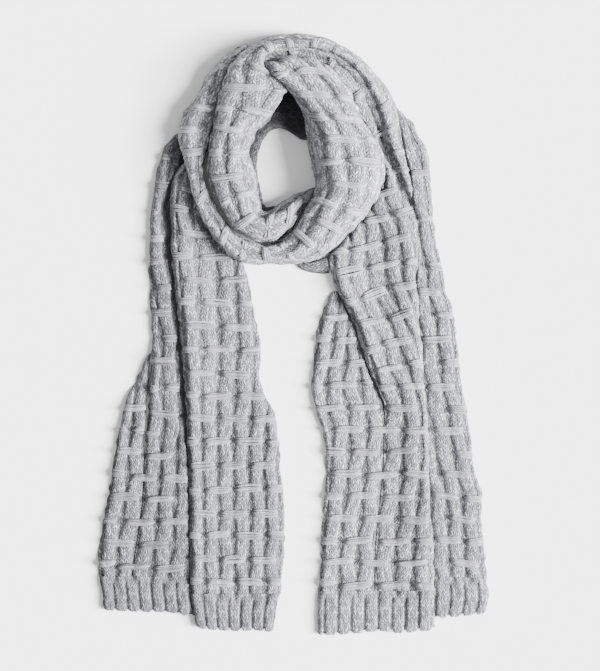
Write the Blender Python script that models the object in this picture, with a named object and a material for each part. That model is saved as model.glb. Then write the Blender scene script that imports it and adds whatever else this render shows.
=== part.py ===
"""A knitted scarf, wound once round and laid flat on a table.

The cloth is a wall 8 mm thick over its ribs. Each visible stretch of it is a strip: a table of sections, one row
for each place where the strip's edges, height or ribs change. A section runs across the strip, from edge a to
edge b, and stands up from its two feet as a rounded arch or a flat slab. The tables are in millimetres, +X to the
right, +Y away from the hems and +Z up from the table, and the meshes are in metres.
"""

from collections import namedtuple

import bmesh
import bpy
import numpy as np
from mathutils import Vector

MM = 0.001

# The cloth.
WALL = 8.0  # thickness over a rib
RIB_DEPTH = 3.3  # from a rib's crest to the valley beside it
FLOAT_RISE = 1.3  # how far a float bar stands above the ribs' crests
FLOAT_HALF_WIDTH = 4.2  # along the ribs, where the bar has sunk back into them
FLOAT_REACH = 0.80  # from the valley that it bridges, in ribs
ROW_PITCH = 25.3  # from one row of float bars to the next
RIB_PITCH = 19.5  # from one rib to the next, along the cloth
ARCH_RIBS = 0.6  # share of the ribs that an arch's steep sides show, as the knit stretches there
LEDGE = 2.6  # thickness of the hidden tongue under an overlapping edge
LEDGE_STEP = 0.1  # from the edge to the foot of its step down to the tongue
LAP = 38.0  # how far an overlapping edge stays up on the tongue below it
LAP_SLOPE = 16.0

# The mesh.
FINE = 65  # samples across a section, from which the few points of the mesh are read
RIB_LINES = (0.0, 0.28, 0.72)  # lines of points in each rib, 0 being the valley
ROW_LINES = (-0.17, 0.0, 0.17)  # stations in each row, 0 being the float bar
SNAP = 0.15  # a rib line nearer than this to an edge, in ribs, joins it

WOOL = (0.50, 0.50, 0.51, 1.0)
HIDDEN_WOOL = (0.40, 0.40, 0.41, 1.0)

Section = namedtuple("Section", "ax ay bx by a_foot b_foot crown edge a_rib b_rib a_fold b_fold")
Shape = namedtuple("Shape", "rows floats rounds bows ledges joins seams plain_count")

# The front loop from its rounded top fold, round the bottom, up the left side and behind the top of the inner coil.
# Edge a is the outer one. edge is the distance over which an edge rounds up to the crown, or half the width.
OUTER_COIL = [
    # ax, ay, bx, by, a_foot, b_foot, crown, edge, a_rib, b_rib, a_fold, b_fold
    (44, 288, -31, 296, 24, 24, 46, 30, -4.6, -1.6, 0, 0),
    (53, 277, -25, 283, 22, 22, 49, 30, -4.4, -1.3, 0, 0),
    (62, 265, -11, 269, 20, 17, 52, 30, -4.2, -1.1, 0, 0),
    (66, 252, 0, 257, 17, 13, 55, 30, -4.0, -0.9, 0, 0),
    (70, 236, 8, 242, 17, 10, 57, 30, -3.8, -0.7, 0, 0),
    (81, 221, 12, 225, 20, 8, 58, 30, -3.7, -0.5, 0, 0),
    (97, 205, 14, 208, 20, 8, 58, 30, -3.8, -0.4, 0, 0),
    (100, 188, 18, 188, 20, 8, 58, 30, -3.8, -0.4, 0, 0),
    (98, 169, 21, 172, 19, 12, 57, 30, -3.7, -0.4, 0, 0),
    (92, 151, 23, 160, 17, 20, 54, 30, -3.5, -0.4, 0, 0),
    (80, 132, 17, 149, 15, 22, 50, 30, -3.3, -0.4, 0, 0),
    (66, 116, 11, 139, 13, 21, 46, 30, -3.1, -0.4, 0, 0),
    (52, 102, 6, 128, 12, 18, 41, 30, -2.8, -0.4, 0, 0),
    (38, 89, -1, 118, 11, 14, 36, 30, -2.5, -0.4, 0, 0),
    (20, 81, -10, 109, 5, 10, 32, 30, -2.1, -0.4, 0, 0),
    (2, 77.5, -18, 102, 3, 8, 30, 30, -1.8, -0.4, 0, 0),
    (-18, 76.5, -28, 99, 3, 8, 29, 30, -1.6, -0.4, 0, 0),
    (-40, 76, -40, 101, 4, 8, 29, 30, -1.6, -0.4, 0, 0),
    (-58, 78, -53, 105, 10, 8, 29, 30, -1.6, -0.4, 0, 0),
    (-72, 85, -65, 111, 10, 8, 29, 30, -1.6, -0.4, 0, 0),
    (-82, 95, -73, 121, 10, 8, 29, 30, -1.6, -0.4, 0, 0),
    (-92, 109, -81, 132, 10, 8, 30, 30, -1.6, -0.5, 0, 0),
    (-102, 125, -88, 145, 12, 8, 30, 30, -1.6, -0.5, 0, 0),
    (-109, 141, -95, 158, 15, 10, 31, 30, -1.6, -0.5, 0, 0),
    (-114, 158, -99, 172, 18, 10, 32, 30, -1.6, -0.6, 0, 0),
    (-117, 175, -100, 186, 18, 10, 32, 30, -1.6, -0.6, 0, 0),
    (-123, 194, -99, 200, 16, 9, 31, 30, -1.8, -0.6, 0, 0),
    (-128, 211, -96, 214, 11, 8, 30, 30, -2.0, -0.5, 0, 0),
    (-127, 228, -93, 230, 8, 8, 29, 30, -2.0, -0.5, 0, 0),
    (-121, 244, -91, 242, 2, 8, 29, 30, -1.9, -0.5, 0, 0),
    (-111, 258, -88.5, 254, 2, 8, 28, 30, -1.6, -0.5, 0, 0),
    (-103, 270, -85, 267, 2, 8, 27, 30, -1.4, -0.5, 0, 0),
    (-97, 284, -80.5, 282, 2, 8, 26, 30, -1.3, -0.5, 0, 0),
    (-86, 297, -73, 296, 2, 8, 25, 30, -1.2, -0.5, 0, 0),
    (-72, 310, -64, 306.5, 2, 6, 22, 30, -1.0, -0.6, 0, 0),
    (-61, 316.5, -55.5, 312, 2, 5, 18, 30, -0.9, -0.6, 0, 0),
    (-52, 320.6, -48.5, 317.3, 2, 4, 14, 30, -0.8, -0.6, 0, 0),
]
# From under the front loop at the bottom, round the left of the hole and over the top, then down into the right
# tail. Edge a is the outer one, and later the right one.
INNER_COIL = [
    # ax, ay, bx, by, a_foot, b_foot, crown, edge, a_rib, b_rib, a_fold, b_fold
    (22, 144, 34, 164, 3, 3, 14, 99, -6.2, -5.0, 0, 0),
    (12, 139, 22.5, 162, 4, 4, 17, 99, -6.3, -5.0, 0, 0),
    (3, 131, 11, 158, 5, 6, 25, 99, -6.4, -5.0, 0, 0),
    (-4, 120, 1, 155, 6, 8, 33, 99, -6.5, -4.9, 0, 0),
    (-13, 111, -9, 149, 7, 10, 39, 99, -6.6, -4.8, 0, 0),
    (-24, 103, -20, 142, 8, 11, 43, 40, -6.6, -4.8, 0, 0),
    (-40, 103.5, -28, 136, 9, 12, 45, 34, -6.6, -4.8, 0, 0),
    (-54, 107.5, -33, 136, 9, 12, 46, 34, -6.6, -4.7, 0, 0),
    (-64.5, 114, -35.5, 140, 9, 12, 46, 30, -6.6, -4.7, 0, 0),
    (-72.5, 124.5, -37, 146, 9, 12, 47, 30, -6.6, -4.6, 0, 0),
    (-80, 136.5, -38, 153, 9, 12, 47, 30, -6.7, -4.6, 0, 0),
    (-87, 150, -39, 161, 9, 12, 48, 30, -6.8, -4.6, 0, 0),
    (-94, 166, -41, 171, 10, 12, 48, 30, -6.9, -4.6, 0, 0),
    (-96, 182, -44, 184, 10, 12, 48, 30, -6.9, -4.6, 0, 0),
    (-95, 198, -48, 198, 9, 12, 48, 30, -6.9, -4.6, 0, 0),
    (-93, 214, -46, 210, 8, 12, 48, 30, -6.9, -4.6, 0, 0),
    (-90, 230, -40, 223, 8, 12, 48, 30, -6.9, -4.6, 0, 0),
    (-87, 245, -24, 238, 8, 12, 48, 30, -6.9, -4.4, 0, 0),
    (-83.5, 262, -12.5, 259, 8, 12, 48, 30, -6.9, -4.2, 0, 0),
    (-78.5, 278, -18.5, 275, 8, 13, 48, 30, -6.8, -4.2, 0, 0),
    (-71.5, 293, -31, 286, 8, 14, 47, 30, -6.6, -4.5, 0, 0),
    (-61.5, 305, -34.5, 293, 7, 14, 46, 30, -6.4, -4.8, 0, 0),
    (-47, 317.3, -29, 301, 4, 15, 45, 30, -6.3, -4.7, 0, 0),
    (-31, 326.5, -16, 304.5, 2, 15, 44, 30, -6.2, -4.6, 0, 0),
    (-13, 330.5, -5, 303.8, 2, 15, 43, 30, -6.1, -4.5, 0, 0),
    (8, 331, 8, 303, 2, 15, 43, 30, -6.1, -4.5, 0, 0),
    (27, 328.5, 23, 299.5, 2, 15, 43, 30, -6.0, -4.5, 0, 0),
    (45, 322, 37, 293.5, 2, 14, 42, 30, -6.0, -4.5, 0, 0),
    (62, 312, 46.5, 285.5, 2, 13, 41, 30, -5.9, -4.4, 0, 0),
    (78, 299, 56.5, 273.5, 2, 12, 39, 30, -5.9, -4.4, 0, 0),
    (90.5, 284, 64, 264, 2, 11, 36, 30, -5.9, -4.5, 0, 0),
    (101, 271, 67.3, 251, 3, 9, 33, 30, -5.9, -4.4, 0, 0),
    (108.5, 259, 72, 236, 3, 8, 29, 30, -6.0, -4.4, 0, 0),
    (113.5, 243, 83, 224, 3, 7, 25, 30, -6.0, -4.5, 0, 0),
    (117, 225, 89, 212, 3, 6, 21, 30, -6.0, -4.7, 0, 0),
    (122, 204, 90, 199, 3, 5, 18, 28, -5.9, -4.4, 0, 0),
    (127, 185, 91, 184, 3, 4, 17, 25, -5.8, -3.9, 2, 0),
    (130, 165, 88, 163, 3, 2, 14, 22, -5.75, -3.5, 4, 0),
    (132, 145, 80, 143, 3, 1, 12, 18, -5.65, -2.9, 5, 0),
    (135, 122, 66, 122, 3, 1, 10, 14, -5.3, -1.5, 6, 0),
    (137.5, 100, 50, 100, 3, 1, 9, 12, -5.2, -0.4, 7, 2),
    (137.5, 80, 37.7, 87.3, 3, 1, 8.5, 11, -5.1, 0.2, 7, 4),
    (136.5, 56, 42.7, 57, 3, 3, 8, 10, -4.9, 0.0, 7, 8),
    (137.5, 30, 56.5, 30, 3, 3, 8, 10, -4.35, 0.0, 7, 8),
    (139, 5, 67.5, 5, 3, 3, 8, 10, -3.75, 0.1, 7, 8),
    (140.5, -15, 74, -15, 3, 3, 8, 10, -3.35, 0.2, 7, 8),
    (143, -40, 81.5, -40, 3, 3, 8, 10, -3.0, 0.2, 7, 7),
    (145, -62, 92, -62, 3, 3, 8, 9, -2.65, 0.1, 7, 3),
    (146, -82, 98, -82, 3, 3, 8, 6, -2.45, 0.0, 7, 0),
    (147.5, -110, 98, -110, 3, 3, 8, 6, -2.4, 0.0, 7, 0),
    (149, -150, 97, -150, 3, 3, 8, 6, -2.6, 0.0, 7, 0),
    (151, -190, 93, -190, 3, 3, 8, 6, -2.85, 0.0, 7, 0),
    (153, -230, 89, -230, 3, 3, 8, 6, -3.1, 0.0, 7, 0),
    (154.5, -282, 88, -282, 3, 3, 8, 6, -3.3, 0.0, 7, 0),
]
# The left tail. Its edge a is the left one.
LEFT_TAIL_FRONT = [
    # ax, ay, bx, by, a_foot, b_foot, crown, edge, a_rib, b_rib, a_fold, b_fold
    (-112, 196, -100, 188, 3, 1, 7, 10, -0.5, 0.6, 3, 0),
    (-124, 187, -101, 176, 3, 1, 8, 10, -0.5, 1.0, 6, 0),
    (-134, 171, -101, 160, 3, 1, 8, 10, -0.5, 1.5, 8, 0),
    (-137, 150, -96, 140, 3, 1, 8, 10, -0.4, 1.9, 8, 0),
    (-136, 125, -86, 119, 3, 1, 8, 10, -0.3, 2.3, 8, 0),
    (-134, 95, -66, 95, 3, 0, 8, 10, -0.3, 2.95, 8, 0),
    (-131, 60, -50, 60, 3, 0, 8, 10, -0.3, 3.8, 8, 0),
    (-128.5, 35, -46, 35, 3, 0, 8, 10, -0.2, 4.0, 8, 0),
    (-126, 10, -41, 10, 3, 0, 8, 10, -0.1, 4.1, 8, 0),
    (-122.5, -20, -37, -20, 3, 0, 8, 10, -0.1, 4.3, 8, 0),
    (-120, -50, -37.5, -52, 3, 0, 8, 10, 0.0, 4.5, 8, 0),
    (-119, -80, -24, -82, 3, 0, 8, 10, 0.0, 5.3, 8, 0),
    (-119, -105, -18, -107, 3, 0, 8, 10, 0.0, 5.8, 8, 0),
    (-118, -150, -15, -150, 3, 0, 8, 10, 0.0, 6.1, 8, 0),
    (-117, -195, -10.5, -196, 3, 0, 8, 10, 0.0, 6.3, 8, 0),
    (-116.5, -240, -11.5, -240, 3, 0, 8, 10, 0.0, 6.3, 8, 0),
    (-115.5, -285, -15, -285, 3, 0, 8, 10, 0.0, 6.1, 7, 0),
]
LEFT_TAIL_BACK = [
    # ax, ay, bx, by, a_foot, b_foot, crown, edge, a_rib, b_rib, a_fold, b_fold
    (-118, 228, -108, 221, 0, LEDGE, 6, 10, 0.4, 1.0, 0, 0),
    (-129, 221, -117, 213, 0, LEDGE, 7, 10, 0.3, 1.0, 0, 0),
    (-140, 210, -130, 204, 0, LEDGE, 9, 10, 0.4, 1.5, 0, 0),
    (-149, 190, -131, 186, 0, LEDGE, 10, 10, 0.4, 1.6, 0, 0),
    (-154, 165, -141, 164, 0, LEDGE, 10, 10, 0.4, 1.15, 0, 0),
    (-157, 140, -145.5, 140, 0, LEDGE, 10, 10, 0.5, 1.0, 0, 0),
    (-160, 110, -144.5, 110, 0, LEDGE, 10, 10, 0.3, 1.0, 0, 0),
    (-161, 85, -141.5, 85, 0, LEDGE, 10, 10, 0.1, 1.0, 0, 0),
    (-159.5, 55, -137, 55, 0, LEDGE, 10, 10, -0.1, 1.0, 0, 0),
    (-158, 20, -132.5, 20, 0, LEDGE, 9, 10, -0.3, 1.0, 0, 0),
    (-157, -10, -130, -10, 2, LEDGE, 9, 10, -0.5, 1.0, 0, 0),
    (-158, -35, -128.5, -35, 3, LEDGE, 9, 10, -0.65, 1.0, 4, 0),
    (-160.5, -65, -128, -65, 3, LEDGE, 9, 9, -0.75, 1.0, 4, 0),
    (-163, -95, -127.5, -95, 3, LEDGE, 8.5, 8, -0.95, 1.0, 0, 0),
    (-165, -120, -121, -120, 3, LEDGE, 8, 5, -1.0, 1.5, 0, 0),
    (-165.5, -150, -119, -150, 3, LEDGE, 8, 5, -1.0, 1.6, 0, 0),
    (-168, -190, -118, -190, 3, LEDGE, 8, 5, -1.0, 1.75, 0, 0),
    (-174, -230, -117.5, -230, 3, LEDGE, 8, 5, -1.0, 1.9, 0, 0),
    (-179, -266, -117, -266, 3, LEDGE, 8, 5, -1.0, 2.1, 0, 0),
]
LEFT_TAIL_SIDE = [
    # ax, ay, bx, by, a_foot, b_foot, crown, edge, a_rib, b_rib, a_fold, b_fold
    (-166, -33, -159.3, -33, 0, 0, 3.6, 10, 1.0, 1.4, 0, 0),
    (-177, -54, -160.5, -55, 0, LEDGE, 7, 10, 0.8, 1.6, 0, 0),
    (-186, -72, -162, -72, 0, LEDGE, 8, 8, 0.5, 1.7, 0, 0),
    (-191, -95, -163.5, -95, 0, LEDGE, 8, 7, 0.3, 1.8, 0, 0),
    (-196, -115, -165.5, -115, 0, LEDGE, 8, 6, 0.0, 2.0, 0, 0),
    (-200, -140, -165.8, -140, 0, LEDGE, 8, 6, 0.0, 2.0, 0, 0),
    (-203.5, -165, -167, -165, 0, LEDGE, 8, 6, 0.0, 2.0, 0, 0),
    (-208, -190, -168.5, -190, 0, LEDGE, 8, 6, 0.0, 2.0, 0, 0),
    (-212, -214, -171.5, -214, 0, LEDGE, 8, 6, 0.0, 2.0, 0, 0),
    (-216.5, -244, -176.5, -243, 0, LEDGE, 8, 6, -0.1, 2.0, 0, 0),
    (-215, -266, -179.5, -266, 0, LEDGE, 8, 6, -0.1, 2.0, 0, 0),
]
# The right tail, with edge a on the left, and the bit of the lower layer that shows under the front loop.
RIGHT_TAIL_INNER = [
    # ax, ay, bx, by, a_foot, b_foot, crown, edge, a_rib, b_rib, a_fold, b_fold
    (41, 47, 46.3, 47, 0, LEDGE, 3.2, 10, -3.6, -3.3, 0, 0),
    (36, 38, 50.8, 38, 0, LEDGE, 6, 10, -3.8, -2.8, 0, 0),
    (29.5, 23, 59, 23, 0, LEDGE, 7, 10, -4.0, -2.3, 0, 0),
    (24, 0, 68, 0, 0, LEDGE, 8, 10, -4.2, -1.3, 0, 0),
    (21, -25, 75.8, -25, 0, LEDGE, 8, 8, -4.1, -0.8, 0, 0),
    (18, -56, 87.5, -56, 0, LEDGE, 8, 7, -3.9, -0.1, 0, 0),
    (22, -82, 96.8, -82, 0, LEDGE, 8, 6, -3.7, 0.0, 0, 0),
    (31, -106, 97.2, -106, 0, LEDGE, 8, 6, -3.5, 0.0, 0, 0),
    (34.5, -145, 96.2, -145, 0, LEDGE, 8, 6, -3.3, 0.0, 0, 0),
    (31.5, -190, 92.3, -190, 0, LEDGE, 8, 6, -3.2, 0.0, 0, 0),
    (29, -230, 88.3, -230, 0, LEDGE, 8, 6, -3.1, 0.0, 0, 0),
    (26, -282, 87.2, -282, 0, LEDGE, 8, 6, -3.1, 0.0, 0, 0),
]
UNDER_LAYER = [
    # ax, ay, bx, by, a_foot, b_foot, crown, edge, a_rib, b_rib, a_fold, b_fold
    (4, 74.6, 4.5, 77.5, 0, LEDGE, 3.4, 10, 0.0, 0.1, 0, 0),
    (9.5, 70.5, 11, 78.3, 0, LEDGE, 6, 10, 0.0, 0.5, 0, 0),
    (20, 66.7, 20.5, 80.2, 0, LEDGE, 7, 10, 0.0, 0.8, 0, 0),
    (31, 66, 29.6, 83.8, 0, LEDGE, 7, 10, 0.0, 0.9, 0, 0),
    (38, 67, 35, 86.6, 0, LEDGE, 7, 10, 0.0, 1.0, 0, 0),
]
RIGHT_TAIL_BACK = [
    # ax, ay, bx, by, a_foot, b_foot, crown, edge, a_rib, b_rib, a_fold, b_fold
    (112, 252, 117, 253, LEDGE, 0, 6, 10, 2.6, 2.9, 0, 0),
    (114.7, 242, 121, 243, LEDGE, 0, 7, 10, 2.6, 3.0, 0, 0),
    (117.5, 229, 131, 231, LEDGE, 0, 8, 10, 2.6, 3.3, 0, 0),
    (120.5, 215, 137.5, 216, LEDGE, 0, 9, 10, 2.5, 3.4, 0, 0),
    (124, 201, 146, 202, LEDGE, 0, 10, 10, 2.4, 3.5, 0, 0),
    (128, 186, 148.5, 187, LEDGE, 0, 10, 10, 2.4, 3.5, 0, 0),
    (131.2, 167, 150, 167, LEDGE, 0, 10, 10, 2.3, 3.4, 0, 0),
    (133.2, 146, 151.5, 145, LEDGE, 0, 10, 10, 2.2, 3.3, 0, 0),
    (136, 122, 153.5, 121, LEDGE, 0, 9, 9, 2.0, 3.2, 0, 0),
    (138.6, 100, 157, 98, LEDGE, 0, 9, 9, 1.85, 3.15, 0, 0),
    (138.5, 75, 163, 74, LEDGE, 0, 8, 8, 1.6, 3.15, 0, 0),
    (137.5, 50, 166.5, 49, LEDGE, 0, 8, 8, 1.3, 3.2, 0, 0),
    (138.5, 25, 174, 25, LEDGE, 0, 8, 8, 1.05, 3.2, 0, 0),
    (140.5, 0, 178.5, 0, LEDGE, 0, 8, 8, 1.02, 3.2, 0, 0),
    (142.5, -25, 181, -25, LEDGE, 0, 8, 8, 1.0, 3.2, 0, 0),
    (144.5, -50, 183.5, -52, LEDGE, 0, 8, 8, 0.97, 3.2, 0, 0),
    (146.5, -80, 189, -82, LEDGE, 0, 8, 8, 0.92, 3.2, 0, 0),
    (148.5, -110, 194, -112, LEDGE, 0, 8, 8, 0.75, 3.2, 0, 0),
    (150, -145, 197.5, -147, LEDGE, 0, 8, 8, 0.45, 3.2, 0, 0),
    (151.5, -172, 206, -175, LEDGE, 0, 8, 8, 0.1, 3.3, 0, 0),
    (153, -205, 205.5, -207, LEDGE, 0, 8, 8, 0.0, 3.3, 0, 0),
    (154.5, -235, 209, -237, LEDGE, 0, 8, 8, 0.0, 3.3, 0, 0),
    (155.5, -266, 211, -268, LEDGE, 0, 8, 8, 0.0, 3.3, 0, 0),
]
# The ribbed hems.
LEFT_FRONT_HEM = [
    # ax, ay, bx, by, a_foot, b_foot, crown, edge, a_rib, b_rib, a_fold, b_fold
    (-115.5, -285.3, -15, -285.3, 3, 0, 8, 10, 0.0, 8.0, 7, 0),
    (-112, -305, -20.5, -305, 3, 0, 8, 8, 0.0, 8.0, 4, 0),
    (-109, -322, -22, -326, 3, 0, 8, 8, 0.0, 8.0, 1, 0),
]
LEFT_BACK_HEM = [
    # ax, ay, bx, by, a_foot, b_foot, crown, edge, a_rib, b_rib, a_fold, b_fold
    (-215, -266.3, -117, -266.3, 0, LEDGE, 8, 6, 0.0, 7.0, 0, 0),
    (-212, -285, -116.5, -285, 0, LEDGE, 8, 6, 0.0, 7.0, 0, 0),
    (-211, -303, -113.5, -309, 0, LEDGE, 8, 6, 0.0, 7.0, 0, 0),
]
RIGHT_FRONT_HEM = [
    # ax, ay, bx, by, a_foot, b_foot, crown, edge, a_rib, b_rib, a_fold, b_fold
    (26, -282.3, 154.5, -282.3, 0, 3, 8, 8, 0.5, 9.2, 0, 7),
    (25, -305, 154, -305, 0, 3, 8, 8, 0.5, 9.2, 0, 5),
    (25, -331, 153.5, -326, 0, 3, 8, 8, 0.5, 9.2, 0, 2),
]
RIGHT_BACK_HEM = [
    # ax, ay, bx, by, a_foot, b_foot, crown, edge, a_rib, b_rib, a_fold, b_fold
    (155.5, -266.3, 211, -268.3, LEDGE, 0, 8, 8, 0.0, 3.8, 0, 0),
    (155.5, -288, 214.5, -290, LEDGE, 0, 8, 8, 0.0, 3.8, 0, 0),
    (154.5, -312, 209, -308, LEDGE, 0, 8, 8, 0.0, 3.8, 0, 0),
]


# The layers inside the winding that don't show: from under the front of the inner coil, left round the hole and under
# the top. The second point of a row lies on the hole's side, where their edges look out from under the coil.
HIDDEN_LAYERS = [
    # outside x, y, hole x, y, top
    (-12, 124, -10, 147, 9),
    (-22, 118, -21, 141, 10),
    (-36, 116, -30, 139, 11.2),
    (-46, 120, -34, 142, 11.2),
    (-56, 126, -35.5, 147, 11.2),
    (-63, 136, -36.5, 152, 11.2),
    (-70, 147, -38, 159, 11.2),
    (-77, 160, -40, 168, 11.2),
    (-82, 175, -42, 179, 11.2),
    (-84, 190, -42, 190, 11.2),
    (-82, 206, -40, 201, 11.2),
    (-79, 221, -36, 212, 11.2),
    (-75, 238, -30, 221, 11.2),
    (-71, 254, -21, 226.5, 11.2),
    (-66, 270, -10, 225, 10.3),
    (-58, 285, 0, 219, 8.8),
    (-46, 299, 9, 214, 7.4),
    (-28, 311, 19, 216, 7.4),
    (-8, 317, 28, 221, 7.4),
    (12, 318, 36, 226, 7.4),
    (31, 312, 44, 230, 7.4),
    (49, 302, 51, 234, 7.4),
    (66, 288, 58, 238, 7.4),
    (77, 270, 63, 243, 7.4),
]
HIDDEN_EDGE = [
    # out from the hole's edge, part of the height: two soft layers, one on the other
    (-1.0, 0.0),
    (0.6, 0.22),
    (-0.6, 0.48),
    (-1.6, 0.54),
    (-1.0, 0.76),
    (-4.0, 1.0),
]


def smoothstep(value, low, high):
    """0 below low, 1 above high, and an S-curve between them."""
    part = np.clip((value - low) / (high - low), 0.0, 1.0)
    return part * part * (3.0 - 2.0 * part)


def rounded(distance, radius):
    """A quarter circle: 0 at the edge, 1 from the radius inwards."""
    part = np.clip(distance / radius, 0.0, 1.0)
    return np.sqrt(1.0 - (1.0 - part) ** 2)


def distances(table):
    """How far along the strip's middle line each row of its table lies."""
    rows = np.array(table, float)
    middle = (rows[:, 0:2] + rows[:, 2:4]) / 2
    steps = np.linalg.norm(np.diff(middle, axis=0), axis=1)
    return np.concatenate([[0.0], np.cumsum(steps)])


def along(table, where):
    """The table's columns on a smooth curve through its rows, at these distances along the strip."""
    rows = np.array(table, float)
    at = distances(table)
    slope = np.gradient(rows, at, axis=0)
    index = np.clip(np.searchsorted(at, where, side="right") - 1, 0, len(at) - 2)
    length = (at[index + 1] - at[index])[:, None]
    t = (where[:, None] - at[index][:, None]) / length
    start = rows[index] * (2 * t**3 - 3 * t**2 + 1) + slope[index] * length * (t**3 - 2 * t**2 + t)
    end = rows[index + 1] * (3 * t**2 - 2 * t**3) + slope[index + 1] * length * (t**3 - t**2)
    return Section(*(start + end).T)


def relief(rib, row, floats):
    """Height of the knit over the ribs' crests: rounded ribs, with bars across two of them in every row, half a
    repeat along from the bars in the next row."""
    hump = np.abs(np.sin(np.pi * rib)) ** 0.6
    height = RIB_DEPTH * (hump - 1.0)
    if floats:
        nearest = np.round(row)
        odd = np.mod(nearest, 2)
        bridged = 2 * np.round((rib - odd) / 2) + odd
        across = 1.0 - smoothstep(np.abs(rib - bridged), FLOAT_REACH - 0.1, FLOAT_REACH + 0.1)
        lengthways = 1.0 - smoothstep(np.abs(row - nearest) * ROW_PITCH, 1.5, FLOAT_HALF_WIDTH)
        bar = across * lengthways
        height = height * (1 - bar) + FLOAT_RISE * bar
    return height


def joined(joins, where):
    """How far each edge has run on into its neighbour, from 0 to 1, for each station."""
    return [smoothstep(where, *join)[:, None] if join else np.zeros((len(where), 1)) for join in joins]


def edge_height(seams, section, where, edge, foot):
    """Height of an edge: its foot, or its share of the crown where it leans on the next coil."""
    for name, start, stop, share in seams:
        if name == edge:
            near = smoothstep(where, start - 1, start + 30) if start else np.ones_like(where)
            near = near * (1 - smoothstep(where, stop - 30, stop))
            foot = foot + np.maximum(section.crown * share - foot, 0) * near
    return foot[:, None]


def outer_profile(shape, section, where, share, from_end):
    """Height of the crests above the table, at shares of the width from edge a (0) to edge b (1)."""
    width = np.hypot(section.bx - section.ax, section.by - section.ay)[:, None]
    edge = np.minimum(section.edge[:, None], width / 2)
    low_a = edge_height(shape.seams, section, where, "a", section.a_foot)
    low_b = edge_height(shape.seams, section, where, "b", section.b_foot)
    low = low_a * (1 - share) + low_b * share
    folds = section.a_fold[:, None] * (1 - smoothstep(share * width, 8.0, LAP + 10))
    folds = folds + section.b_fold[:, None] * (1 - smoothstep((1 - share) * width, 8.0, LAP + 10))
    join_a, join_b = joined(shape.joins, where)
    stand_a, stand_b = rounded(share * width, edge), rounded((1 - share) * width, edge)
    stand = (stand_a + (1 - stand_a) * join_a) * (stand_b + (1 - stand_b) * join_b)
    if shape.rounds[0] or shape.rounds[1]:
        stand = stand * rounded(from_end + 1.0, shape.rounds[0] or shape.rounds[1])[:, None]
    return low + (section.crown[:, None] + folds - low) * stand


def plain_profile(shape, section, share, from_end):
    """Height of the plain underside, which lies on the table or on a tongue, or follows the arch a wall lower."""
    width = np.hypot(section.bx - section.ax, section.by - section.ay)[:, None]
    inset = np.minimum(WALL, 0.3 * width)
    flat = np.clip((60.0 - section.edge[:, None]) / 40.0, 0.0, 1.0) * (section.crown[:, None] < 20)
    a_foot = section.a_foot[:, None] * (0.0 if shape.ledges[0] else 1.0)
    b_foot = section.b_foot[:, None] * (0.0 if shape.ledges[1] else 1.0)
    chord = a_foot * (1 - share) + b_foot * share
    both = a_foot * (1 - smoothstep(share * width, LAP, LAP + LAP_SLOPE))
    both = np.maximum(both, b_foot * (1 - smoothstep((1 - share) * width, LAP, LAP + LAP_SLOPE)))
    base = chord * (1 - flat) + both * flat
    edge = np.maximum(np.minimum(section.edge[:, None], width / 2) - inset, 2.0)
    stand = rounded(share * width - inset, edge) * rounded((1 - share) * width - inset, edge)
    if shape.rounds[0] or shape.rounds[1]:
        stand = stand * rounded(from_end - WALL, shape.rounds[0] or shape.rounds[1])[:, None]
    hollow = np.maximum(section.crown[:, None] - WALL - base, 0.0) * (1 - flat) * smoothstep(width, 14.0, 24.0)
    return base + hollow * stand


def place(section, share, height, bow):
    """Points in plan: share of the way from edge a to edge b, pushed along the strip by the bow."""
    span_x = (section.bx - section.ax)[:, None]
    span_y = (section.by - section.ay)[:, None]
    width = np.hypot(span_x, span_y)
    push = bow[:, None] * (1 - (2 * np.clip(share, 0, 1) - 1) ** 2)
    x = section.ax[:, None] + span_x * share - span_y / width * push
    y = section.ay[:, None] + span_y * share + span_x / width * push
    return np.stack([x, y, height * np.ones_like(x)], axis=-1)


def strip_rows(shape, table):
    """Stations along a strip, as distances and as rows of float bars."""
    length = distances(table)[-1]
    at, numbers = np.array(shape.rows, float).T
    rows = (np.arange(-60, 120)[:, None] + np.array(ROW_LINES)).ravel()
    if not shape.floats:
        rows = np.arange(-60, 120) * 0.5
    inside = (rows > numbers[0]) & (rows < numbers[-1])
    where = np.interp(rows[inside], numbers, at)
    where = where[(where > 3.0) & (where < length - 3.0)]
    extra = [0.0, length]
    extra += [shape.rounds[0] * part for part in (0.1, 0.3, 0.6) if shape.rounds[0]]
    extra += [length - shape.rounds[1] * part for part in (0.12, 0.5) if shape.rounds[1]]
    for value in extra:
        where = where[np.abs(where - value) > 1.2]
        where = np.append(where, value)
    where = np.sort(where)
    return where, np.interp(where, at, numbers)


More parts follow.
